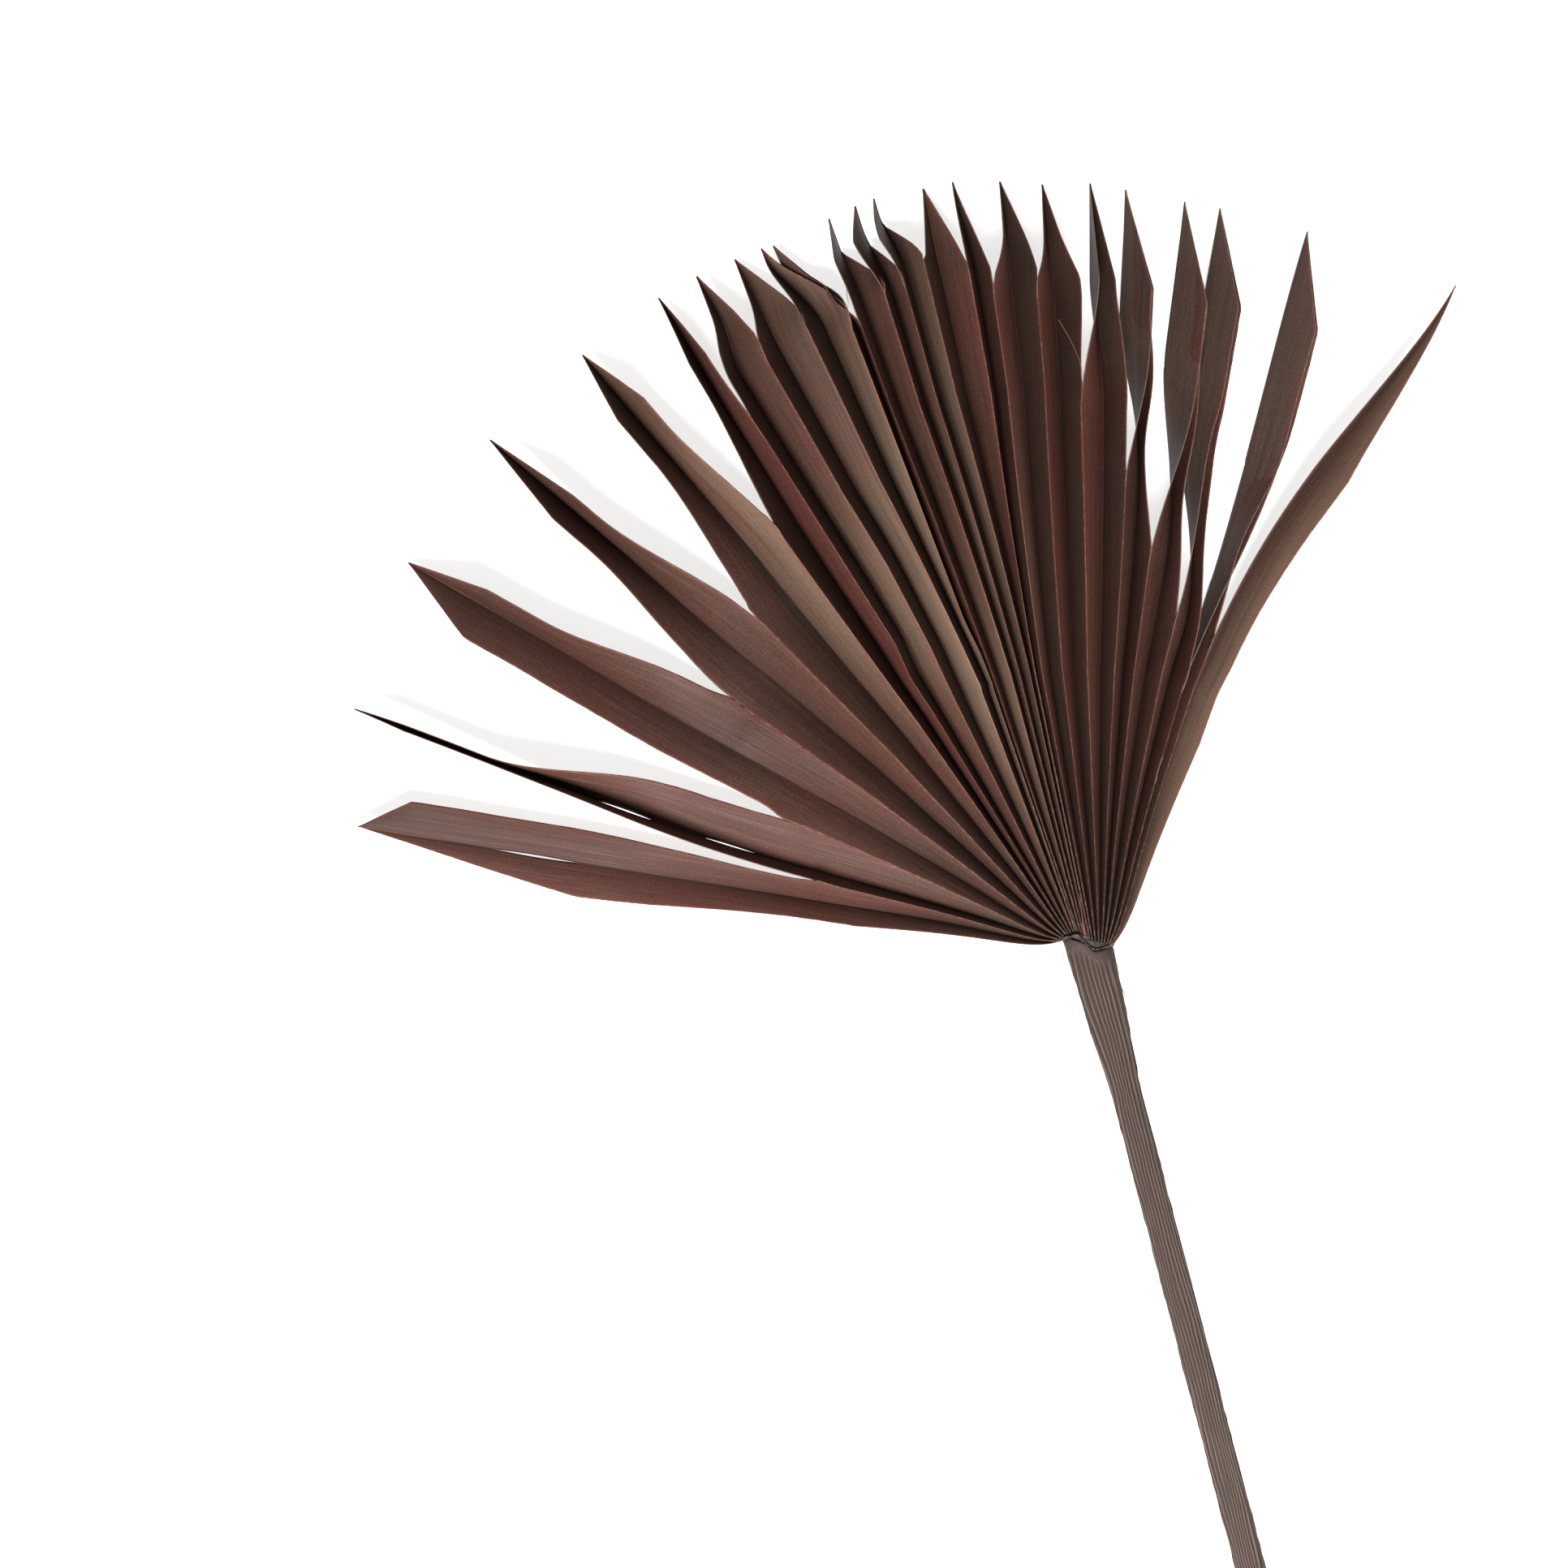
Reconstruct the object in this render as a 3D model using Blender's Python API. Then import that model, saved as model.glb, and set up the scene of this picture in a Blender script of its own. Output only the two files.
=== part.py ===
"""Fan palm leaf: a dried, trimmed, pleated blade on its leafstalk, lying face up on a flat surface.

The leaf is laid out about its hastula, the small crest where the stalk meets the blade.  The stalk runs
along -Y and the fan opens towards +Y.  At the end both pieces are shifted together, so that the origin
is the middle of the whole leaf's footprint.  All lengths are in metres and all azimuths are in degrees,
anticlockwise from +X.
"""

import math
from collections import namedtuple

import bmesh
import bpy
import numpy as np
from mathutils import Matrix, Vector

# --- driving dimensions of the blade ---------------------------------------------------------------
BLADE_THICKNESS = 0.0006
LAMINA_ROOT = 0.002         # width of one half segment where it leaves the hastula
LAMINA_GROWTH = 0.0165      # how much wider it is by FULL_WIDTH_RADIUS
FULL_WIDTH_RADIUS = 0.200
OUTER_SIZE = 0.74           # size of the first and last segments against the middle ones
OUTER_COUNT = 3             # segments over which the size grows from OUTER_SIZE to 1
CUT_FIRST = 0.026           # length of the slanting trim at the tip, first segment
CUT_LAST = 0.041            # and last segment
MARGIN_TAPER = 0.088        # the fan's outermost laminae narrow over this length instead
TIP_WIDTH = 0.04            # share of the width that is left at the very tip
NEAR_RADIUS = 0.110         # radii at which the ridges' azimuths are given
FAR_RADIUS = 0.220
ROLL_CLOSING = 24           # degrees by which a fold closes while it rolls over to the right
EDGE_RADIUS = 0.090         # beyond this the fan's two outer margins take up their own lie
MARGIN_HEIGHTS = (0.8, 0.35)     # heights of the left and right margins, as shares of a ridge's
FLATTEST_DEPTH = 0.15       # least depth of a pleat, as a share of its lamina's width
TIP_LIFT = 0.006            # most that a tip stands up from the surface
LIFT_STEP = 2.4             # radians between the lifts of neighbouring tips
ROLLED_OVER = 120           # a left half sloping more than this belongs to a fold that rolls over
ROOT_HEIGHT = 0.0042        # height of the pleats' floor at the hastula
SETTLE_RADIUS = 0.080       # the pleats' floor has come down to the surface by here
STATION_STEP = 0.0175       # distance between cross-sections along the pleats
STATION_COUNT = 15
JOINT_GAP = 0.0014          # clearance between the blade's root and the stalk's end

# --- driving dimensions of the stalk ---------------------------------------------------------------
STALK_LENGTH = 0.420
STALK_WIDTH = 0.0120
STALK_DEPTH = 0.0085
FLARE_WIDTH = 0.0186        # across the hastula
FLARE_MID_WIDTH = 0.0162
FLARE_MID = 0.028           # distance below the hastula of FLARE_MID_WIDTH
FLARE_LENGTH = 0.058
STALK_SIDES = 16
CREST_LEFT = -0.0108        # the hastula's crest runs obliquely from here
CREST_RIGHT = 0.0084        # to here
CREST_HIGH_Y = 0.0060       # it lies further up the leaf on the left
CREST_LOW_Y = -0.0014
CREST_TURN = (-0.0037, 0.0024)   # it swings across between these

# One row for each segment, from the left margin to the right one.
#   point: azimuth of its tip; reach: distance of the tip from the hastula
#   near, far: azimuths of the ridge on its right, at NEAR_RADIUS and FAR_RADIUS
#   split: distance at which it parts from its right-hand neighbour
#   left, right: slopes of its freed halves above the horizontal, beyond 90 when folded right over
#   bend: share of its free length over which its midrib swings round to the tip's azimuth
#   step: how much shorter its right half is at the tip
#   roll: share of its free length over which its halves turn to their own slopes
#   hold: distance beyond its split over which its right half keeps its slope
#   cut: length of its slanting trim, as a share of the usual one
#   lean: how far its joined valley lies off the middle towards the left, as a share of the span
FIELDS = "point reach near far split left right bend step roll hold cut lean"
Segment = namedtuple("Segment", FIELDS, defaults=(0.6, 0.0, 0.6, 0.0, 1.0, 0.0))
SEGMENTS = [
    Segment(156.0, 0.289, 151.7, 151.9, 0.100, 10, 14),
    Segment(147.4, 0.301, 142.3, 142.3, 0.122, 84, 88, 1.0, hold=0.045, lean=0.28),
    Segment(135.9, 0.305, 130.4, 130.8, 0.163, 30, 70, cut=1.3),
    Segment(125.1, 0.306, 120.9, 120.4, 0.178, 65, 77, cut=1.4),
    Segment(115.9, 0.304, 112.7, 112.0, 0.200, 70, 68),
    Segment(108.9, 0.304, 109.0, 107.9, 0.235, 79, 78, 1.0, lean=0.15),
    Segment(105.7, 0.303, 103.9, 104.2, 0.260, 74, 62, lean=0.15),
    Segment(102.6, 0.302, 98.2, 99.9, 0.2625, 78, 36, 0.5, lean=0.15),
    Segment(100.5, 0.301, 95.8, 96.4, 0.2575, 80, 36, 0.85, roll=0.8, cut=1.12, lean=0.15),
    Segment(99.6, 0.300, 94.9, 95.6, 0.2575, 150, 20, 0.65, roll=0.65, cut=1.1, lean=0.15),
    Segment(95.0, 0.302, 91.5, 92.8, 0.265, 78, 44, 0.6, 0.014, cut=0.52, lean=0.15),
    Segment(92.9, 0.303, 89.8, 91.0, 0.265, 72, 68, 0.8, 0.016, cut=0.42, lean=0.15),
    Segment(91.4, 0.304, 87.7, 89.0, 0.275, 76, 57, 0.8, 0.011, cut=0.48, lean=0.15),
    Segment(87.7, 0.303, 86.6, 85.5, 0.2625, 72, 50, 0.8, lean=0.15),
    Segment(85.5, 0.303, 85.2, 83.8, 0.255, 82, 72, 1.0, lean=0.15),
    Segment(82.0, 0.301, 81.0, 80.0, 0.2525, 84, 52, 0.6),
    Segment(78.9, 0.298, 75.9, 76.4, 0.210, 86, 57),
    Segment(75.3, 0.298, 70.3, 71.4, 0.180, 100, 60),
    Segment(72.6, 0.296, 66.3, 67.4, 0.152, 132, 52),
    Segment(68.1, 0.293, 60.6, 61.0, 0.128, 138, 44),
    Segment(65.3, 0.293, 55.7, 55.8, 0.106, 142, 32, 0.5),
    Segment(58.4, 0.292, 53.5, 53.5, 0.124, 152, 12, 1.0, cut=1.1),
    Segment(46.4, 0.295, 47.6, 46.2, EDGE_RADIUS, 80, 30, 1.0),
]
LEFT_MARGIN = (160.3, 159.8)     # azimuths of the fan's left margin at NEAR_RADIUS and FAR_RADIUS
COUNT = len(SEGMENTS)
# Ridges that aren't straight: some radii, and the ridge's azimuth at each.
RIDGE_KINKS = {
    6: ((0.110, 0.126, 0.140, 0.220), (109.0, 109.0, 108.0, 107.9)),
    7: ((0.110, 0.132, 0.168, 0.200, 0.260), (103.9, 103.3, 103.3, 103.9, 104.2)),
    8: ((0.110, 0.128, 0.200, 0.260), (98.0, 98.3, 99.6, 99.9)),
    9: ((0.110, 0.122, 0.136, 0.220), (95.7, 95.8, 96.4, 96.4)),
}
LEAN_RADIUS = 0.060         # a leaning valley has reached its place by here
UP = Vector((0.0, 0.0, 1.0))


def smooth(value):
    """Ease from 0 to 1 as value goes from 0 to 1."""
    t = min(max(value, 0.0), 1.0)
    return t * t * (3.0 - 2.0 * t)


def mix(start, end, share):
    """The value or point that lies the given share of the way from start to end."""
    return start + (end - start) * share


def polar(radius, azimuth):
    """The plan point at a distance and azimuth from the hastula."""
    angle = math.radians(azimuth)
    return Vector((radius * math.cos(angle), radius * math.sin(angle), 0.0))


def crest_y(x):
    """How far up the leaf the hastula's crest lies at x."""
    start, end = CREST_TURN
    return mix(CREST_HIGH_Y, CREST_LOW_Y, smooth((x - start) / (end - start)))


def size_of(index):
    """Relative size of a segment: the outermost ones are smaller."""
    inner = min(index, COUNT - 1 - index)
    return mix(OUTER_SIZE, 1.0, smooth(inner / OUTER_COUNT))


def lamina_width(index, radius):
    """True width of one half of a segment, before the tip is trimmed."""
    growth = math.sin(math.pi / 2 * min(radius / FULL_WIDTH_RADIUS, 1.0))
    return (LAMINA_ROOT + LAMINA_GROWTH * growth) * size_of(index)


def cut_length(index):
    """Length of the slanting trim at a segment's tip."""
    return mix(CUT_FIRST, CUT_LAST, index / (COUNT - 1)) * size_of(index) * SEGMENTS[index].cut


def trim(index, side, radius):
    """Share of a lamina's width that the trim leaves at this radius."""
    segment = SEGMENTS[index]
    outermost = (index, side) == (0, 0) or index == COUNT - 1
    length = MARGIN_TAPER if outermost else cut_length(index)
    reach = segment.reach - segment.step if side else segment.reach
    return min(max((reach - radius) / length, TIP_WIDTH), 1.0)


def split_radius(ridge):
    """Where a ridge ends and its two segments part; ridge 0 is the left margin."""
    return EDGE_RADIUS if ridge == 0 else SEGMENTS[ridge - 1].split


def ridge_azimuths(ridge):
    """Azimuths of a ridge at NEAR_RADIUS and FAR_RADIUS."""
    if ridge == 0:
        return LEFT_MARGIN
    return SEGMENTS[ridge - 1].near, SEGMENTS[ridge - 1].far


def ridge_plan(ridge, radius):
    """Plan point of a ridge: straight from the crest at first, then along its azimuths."""
    near, far = ridge_azimuths(ridge)
    if radius < NEAR_RADIUS:
        x = mix(CREST_LEFT, CREST_RIGHT, ridge / COUNT)
        root = Vector((x, crest_y(x) + JOINT_GAP, 0.0))
        return mix(root, polar(NEAR_RADIUS, near), radius / NEAR_RADIUS)
    if ridge in RIDGE_KINKS:
        return polar(radius, float(np.interp(radius, *RIDGE_KINKS[ridge])))
    share = min((radius - NEAR_RADIUS) / (FAR_RADIUS - NEAR_RADIUS), 1.0)
    return polar(radius, mix(near, far, share))


def pleat_floor(radius):
    """Height of the pleats' valleys, which come down from the stalk to lie on the surface."""
    return BLADE_THICKNESS / 2 + ROOT_HEIGHT * (1.0 - smooth(radius / SETTLE_RADIUS))


def pleat_depth(index, radius):
    """How deep a pleat is between its two ridges while it is still joined to its neighbours."""
    span = (ridge_plan(index, radius) - ridge_plan(index + 1, radius)).length
    width = lamina_width(index, radius)
    return math.sqrt(max(width ** 2 - span ** 2 / 4, (FLATTEST_DEPTH * width) ** 2))


def ridge_point(ridge, radius):
    """A ridge in space, at the mean depth of the pleats on its two sides."""
    if ridge == 0:
        depth = pleat_depth(0, radius) * MARGIN_HEIGHTS[0]
    elif ridge == COUNT:
        depth = pleat_depth(COUNT - 1, radius) * MARGIN_HEIGHTS[1]
    else:
        depth = (pleat_depth(ridge - 1, radius) + pleat_depth(ridge, radius)) / 2
    return ridge_plan(ridge, radius) + UP * (pleat_floor(radius) + depth)


def joined_valley(index, radius):
    """The valley of a joined pleat, a lamina's width away from both of its ridges."""
    left = ridge_point(index, radius)
    right = ridge_point(index + 1, radius)
    half_span = (right - left) / 2
    width = lamina_width(index, radius)
    least = FLATTEST_DEPTH * width
    depth = math.sqrt(max(width ** 2 - half_span.length_squared, least ** 2))
    across = half_span.normalized()
    down = (across * across.dot(UP) - UP).normalized()
    aside = -2 * SEGMENTS[index].lean * smooth(radius / LEAN_RADIUS)
    return left + half_span * (1.0 + aside) + down * depth


def azimuth_of(point):
    """Azimuth of a point about the hastula."""
    return math.degrees(math.atan2(point.y, point.x))


def valley_point(index, radius):
    """The midrib of a segment in space, joined at first and then on its own way to the tip."""
    segment = SEGMENTS[index]
    freed = max(split_radius(index), split_radius(index + 1))
    if radius <= freed:
        return joined_valley(index, radius)
    start = joined_valley(index, freed)
    progress = (radius - freed) / (segment.reach - freed)
    share = smooth(progress / segment.bend)
    lift = TIP_LIFT * (0.5 + 0.5 * math.sin(LIFT_STEP * index))
    height = mix(start.z, BLADE_THICKNESS / 2 + lift * progress ** 1.5, share)
    distance = mix(start.xy.length, segment.reach, progress)
    return polar(distance, mix(azimuth_of(start), segment.point, share)) + UP * height


def edge_point(index, side, radius):
    """The left (side 0) or right (side 1) edge of a segment in space.

    Beyond its split an edge stays a lamina's width away from the midrib, and the lamina turns from
    the slope that it had at the split to its own.
    """
    ridge = index + side
    split = split_radius(ridge)
    if radius <= split:
        return ridge_point(ridge, radius)
    segment = SEGMENTS[index]
    held = split + segment.hold if side else split
    share = smooth((radius - held) / (segment.reach - held) / segment.roll)
    root, root_valley = ridge_point(ridge, split), valley_point(index, split)
    root_offset = math.radians(azimuth_of(root_valley) - azimuth_of(root)) * split
    root_rise = root.z - root_valley.z
    end_slope = math.radians(segment.right if side else 180 - segment.left)
    slope = mix(math.atan2(root_rise, root_offset), end_slope, share)
    if side and segment.left > ROLLED_OVER:
        slope += math.radians(ROLL_CLOSING) * math.sin(math.pi * share)
    width = mix(math.hypot(root_rise, root_offset), lamina_width(index, radius), share)
    width *= trim(index, side, radius)
    valley = valley_point(index, radius)
    distance = valley.xy.length
    turn = math.degrees(width * math.cos(slope) / distance)
    return polar(distance, azimuth_of(valley) - turn) + UP * (valley.z + width * math.sin(slope))


def stations(index):
    """Radii of a segment's cross-sections: the shared ones, then its own shoulder and tip."""
    shared = [STATION_STEP * number for number in range(STATION_COUNT)]
    reach = SEGMENTS[index].reach
    return shared + [reach - cut_length(index), reach]


def build_blade():
    """One folded sheet, slit where the segments part, then given the leaf's thickness."""
    bm = bmesh.new()
    ridge_verts = {}
    for index in range(COUNT):
        rows = []
        for number, radius in enumerate(stations(index)):
            row = []
            for side in (0, 1):
                ridge = index + side
                shared = number < STATION_COUNT and radius <= split_radius(ridge)
                key = (ridge, number) if shared else (ridge, number, index)
                if key not in ridge_verts:
                    ridge_verts[key] = bm.verts.new(edge_point(index, side, radius))
                row.append(ridge_verts[key])
            row.insert(1, bm.verts.new(valley_point(index, radius)))
            rows.append(row)
        for low, high in zip(rows, rows[1:]):
            for side in (0, 1):
                bm.faces.new((low[side], low[side + 1], high[side + 1], high[side]))
    bmesh.ops.recalc_face_normals(bm, faces=bm.faces)
    mesh = bpy.data.meshes.new("blade")
    bm.to_mesh(mesh)
    bm.free()
    blade = bpy.data.objects.new("blade", mesh)
    bpy.context.scene.collection.objects.link(blade)
    wall = blade.modifiers.new("thickness", "SOLIDIFY")
    wall.thickness = BLADE_THICKNESS
    wall.offset = 0.0
    return blade


def stalk_width(distance):
    """Width of the stalk at a distance below the hastula."""
    distances = (0.0, FLARE_MID, FLARE_LENGTH, STALK_LENGTH)
    widths = (FLARE_WIDTH, FLARE_MID_WIDTH, STALK_WIDTH, STALK_WIDTH)
    return float(np.interp(distance, distances, widths))


def stalk_section(distance):
    """A ring of points around the stalk: a round keel below and a shallow channel above."""
    half_width = stalk_width(distance) / 2
    follows_crest = 1.0 - smooth(distance / FLARE_MID)
    ring = []
    for number in range(STALK_SIDES):
        angle = 2 * math.pi * number / STALK_SIDES
        x = half_width * math.cos(angle)
        rise = math.sin(angle)
        height = STALK_DEPTH * (0.5 + 0.5 * rise)
        if rise > 0:
            height = STALK_DEPTH * (0.5 + 0.36 * rise)
        y = -distance + follows_crest * crest_y(x)
        ring.append(Vector((x, y, height)))
    return ring


def cap_in_strips(bm, ring):
    """Close an end with upright strips, so that it follows the crest's curve exactly."""
    half = STALK_SIDES // 2
    for number in range(half):
        corners = [ring[number], ring[number + 1], ring[-(number + 1)], ring[-number]]
        bm.faces.new(list(dict.fromkeys(corners)))


def build_stalk():
    """The leafstalk, lofted from its cut end up to the oblique crest of the hastula."""
    bm = bmesh.new()
    flare_steps = [0.0, FLARE_MID / 3, FLARE_MID, FLARE_LENGTH]
    run_steps = [mix(FLARE_LENGTH, STALK_LENGTH, step / 4) for step in (1, 2, 3, 4)]
    rings = [[bm.verts.new(point) for point in stalk_section(step)] for step in flare_steps + run_steps]
    for upper, lower in zip(rings, rings[1:]):
        for number in range(STALK_SIDES):
            after = (number + 1) % STALK_SIDES
            bm.faces.new((upper[number], upper[after], lower[after], lower[number]))
    for end in (rings[0], rings[-1]):
        cap_in_strips(bm, end)
    bmesh.ops.recalc_face_normals(bm, faces=bm.faces)
    mesh = bpy.data.meshes.new("petiole")
    bm.to_mesh(mesh)
    bm.free()
    mesh.shade_smooth()
    stalk = bpy.data.objects.new("petiole", mesh)
    bpy.context.scene.collection.objects.link(stalk)
    return stalk


def dress(piece, name, colour, roughness):
    """Give a piece its own dull, dyed, dry-leaf material."""
    material = bpy.data.materials.new(name)
    material.use_nodes = True
    shader = material.node_tree.nodes["Principled BSDF"]
    shader.inputs["Base Color"].default_value = colour
    shader.inputs["Roughness"].default_value = roughness
    shader.inputs["Metallic"].default_value = 0.0
    piece.data.materials.append(material)


def settle(pieces):
    """Shift the whole leaf so that the origin is the middle of its footprint, on the surface."""
    bpy.context.view_layer.update()
    depsgraph = bpy.context.evaluated_depsgraph_get()
    corners = [Vector(corner) for piece in pieces for corner in piece.evaluated_get(depsgraph).bound_box]
    low = Vector([min(corner[axis] for corner in corners) for axis in range(3)])
    high = Vector([max(corner[axis] for corner in corners) for axis in range(3)])
    shift = Vector((-(low.x + high.x) / 2, -(low.y + high.y) / 2, -low.z))
    for piece in pieces:
        piece.data.transform(Matrix.Translation(shift))


def main():
    """Clear the scene and build the leaf's two pieces."""
    for old in list(bpy.data.objects):
        bpy.data.objects.remove(old)
    blade = build_blade()
    stalk = build_stalk()
    dress(blade, "dyed_leaf_blade", (0.075, 0.038, 0.031, 1.0), 0.55)
    dress(stalk, "dyed_leafstalk", (0.13, 0.085, 0.070, 1.0), 0.6)
    settle([blade, stalk])


main()
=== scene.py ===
"""Studio scene of a dried, dyed and trimmed fan palm leaf that lies face up on a pale table.

The leaf is laid out about its hastula, the small crest where the leafstalk meets the blade: the stalk
runs along -Y and the fan opens towards +Y.  Lengths are in metres and azimuths in degrees, anticlockwise
from +X, unless a name says otherwise.
"""

import logging
import math
from collections.abc import Iterable, Mapping
from dataclasses import dataclass
from enum import Enum, IntEnum
from typing import TypeVar

import bmesh
import bpy
from mathutils import Matrix, Vector
from mathutils import noise as perlin
from numpy import interp

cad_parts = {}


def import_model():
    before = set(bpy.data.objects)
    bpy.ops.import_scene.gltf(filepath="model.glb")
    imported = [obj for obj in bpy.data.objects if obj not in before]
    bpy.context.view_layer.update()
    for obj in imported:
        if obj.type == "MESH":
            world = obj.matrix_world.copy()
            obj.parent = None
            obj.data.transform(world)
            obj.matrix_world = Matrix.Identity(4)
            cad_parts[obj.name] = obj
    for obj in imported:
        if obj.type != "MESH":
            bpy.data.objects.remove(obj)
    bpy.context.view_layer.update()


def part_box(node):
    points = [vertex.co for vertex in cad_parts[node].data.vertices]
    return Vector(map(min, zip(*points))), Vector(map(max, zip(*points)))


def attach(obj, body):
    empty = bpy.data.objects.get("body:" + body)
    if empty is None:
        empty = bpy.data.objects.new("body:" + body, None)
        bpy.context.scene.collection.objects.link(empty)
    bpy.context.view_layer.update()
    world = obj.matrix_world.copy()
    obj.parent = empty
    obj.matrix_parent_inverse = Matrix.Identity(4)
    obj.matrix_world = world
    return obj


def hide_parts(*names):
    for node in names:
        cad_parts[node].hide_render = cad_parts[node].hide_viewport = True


Tree = bpy.types.NodeTree
Socket = bpy.types.NodeSocket
Material = bpy.types.Material
Piece = bpy.types.Object
Mesh = bmesh.types.BMesh
Vert = bmesh.types.BMVert
Inputs = Mapping[str | int, object]
Amount = TypeVar("Amount", float, Vector)

LOG = logging.getLogger("fan_palm_leaf")
MM = 0.001
UP = Vector((0.0, 0.0, 1.0))
COINCIDENT = 1e-7  # points nearer than this are one point


class Side(IntEnum):
    """Half of a segment, seen from the hastula towards the tip."""

    LEFT = 0
    RIGHT = 1


class Skin(IntEnum):
    """Material slots of the blade."""

    UPPER = 0
    UNDER = 1
    EDGE = 2


class SlotName(Enum):
    """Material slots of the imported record."""

    BLADE = "blade"
    STALK = "petiole"


# --- small helpers ---------------------------------------------------------------------------------


def smooth(value: float) -> float:
    """Ease from 0 to 1 as value goes from 0 to 1."""
    t = min(max(value, 0.0), 1.0)
    return t * t * (3.0 - 2.0 * t)


def mix(start: Amount, end: Amount, share: float) -> Amount:
    """The number or point that lies the given share of the way from start to end."""
    return start + (end - start) * share


def bell(value: float, width: float) -> float:
    """A bell of height 1 about zero."""
    return math.exp(-((value / width) ** 2))


def wander(place: float, row: float) -> float:
    """Smooth repeatable noise from about -1 to 1 along one line."""
    return perlin.noise(Vector((place, row * 7.31 + 0.37, 2.17)))


def polar(radius: float, azimuth: float) -> Vector:
    """The plan point at a distance and azimuth from the hastula."""
    angle = math.radians(azimuth)
    return Vector((radius * math.cos(angle), radius * math.sin(angle), 0.0))


def azimuth_of(point: Vector) -> float:
    """Azimuth of a point about the hastula."""
    return math.degrees(math.atan2(point.y, point.x))


def linear(hex_colour: str) -> tuple[float, float, float, float]:
    """Turn an sRGB hex colour into linear red, green, blue and a full alpha.

    Args:
        hex_colour: Six hex digits, such as "4a2f2a".

    Returns:
        The colour for a shader socket.
    """
    channels = [int(hex_colour[start : start + 2], 16) / 255 for start in (0, 2, 4)]
    red, green, blue = (c / 12.92 if c <= 0.04045 else ((c + 0.055) / 1.055) ** 2.4 for c in channels)
    return (red, green, blue, 1.0)


def add_node(tree: Tree, kind: str, inputs: Inputs | None = None, **settings: object) -> bpy.types.Node:
    """Add a node with its settings, its constant inputs and its links.

    Args:
        tree: The node tree.
        kind: The node's type name.
        inputs: Constants, or sockets to link, by input name or number.
        **settings: Properties of the node.

    Returns:
        The new node.
    """
    node = tree.nodes.new(kind)
    for name, value in settings.items():
        setattr(node, name, value)
    for name, value in (inputs or {}).items():
        if isinstance(value, Socket):
            tree.links.new(value, node.inputs[name])
        else:
            node.inputs[name].default_value = value
    return node


def tube_sheet(bm: Mesh, sides: int, steps: int) -> list[tuple[Vert, float, float]]:
    """Add a sheet that is about to be rolled into a tube.

    Args:
        bm: The mesh.
        sides: Points round the tube, with the first one twice.
        steps: Points along it.

    Returns:
        Each new point with its angle round the tube and its share of the way along.
    """
    made = bmesh.ops.create_grid(bm, x_segments=sides, y_segments=steps, size=0.5)["verts"]
    return [(vert, 2 * math.pi * (vert.co.x + 0.5), vert.co.y + 0.5) for vert in made]


def close_tube(bm: Mesh) -> None:
    """Close a rolled sheet's seam and ends, and turn its faces outward.

    Args:
        bm: The mesh, with nothing but the sheet in it.
    """
    bmesh.ops.remove_doubles(bm, verts=bm.verts, dist=COINCIDENT)
    bmesh.ops.holes_fill(bm, edges=[edge for edge in bm.edges if edge.is_boundary], sides=0)
    bmesh.ops.recalc_face_normals(bm, faces=bm.faces)


def finish_piece(bm: Mesh, name: str, materials: list[Material], place: Vector) -> Piece:
    """Turn a bmesh into a shaded piece whose object sits at the origin.

    Args:
        bm: The mesh, in the leaf's own layout; it is freed.
        name: Name of the piece.
        materials: Its materials, in slot order.
        place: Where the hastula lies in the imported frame.

    Returns:
        The piece, riding on the leaf's one body.
    """
    bmesh.ops.translate(bm, verts=bm.verts, vec=place)
    mesh = bpy.data.meshes.new(name)
    bm.to_mesh(mesh)
    bm.free()
    mesh.shade_smooth()
    for material in materials:
        mesh.materials.append(material)
    piece = bpy.data.objects.new(name, mesh)
    bpy.context.scene.collection.objects.link(piece)
    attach(piece, "root")
    LOG.info("%s: %d faces", name, len(mesh.polygons))
    return piece


# --- finishes --------------------------------------------------------------------------------------


@dataclass(frozen=True)
class Grain:
    """A noise whose grains have a size across and along the surface, in millimetres."""

    across: float
    along: float
    detail: float


@dataclass(frozen=True)
class Fade:
    """How much of a coat shows: from start to end, as a pattern goes from low to high."""

    pattern: str
    low: float
    high: float
    start: float = 0.0
    end: float = 1.0


@dataclass(frozen=True)
class Coat:
    """A colour over the ones below it, as strong as the product of its fades."""

    colour: str
    fades: tuple[Fade, ...]


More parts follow.
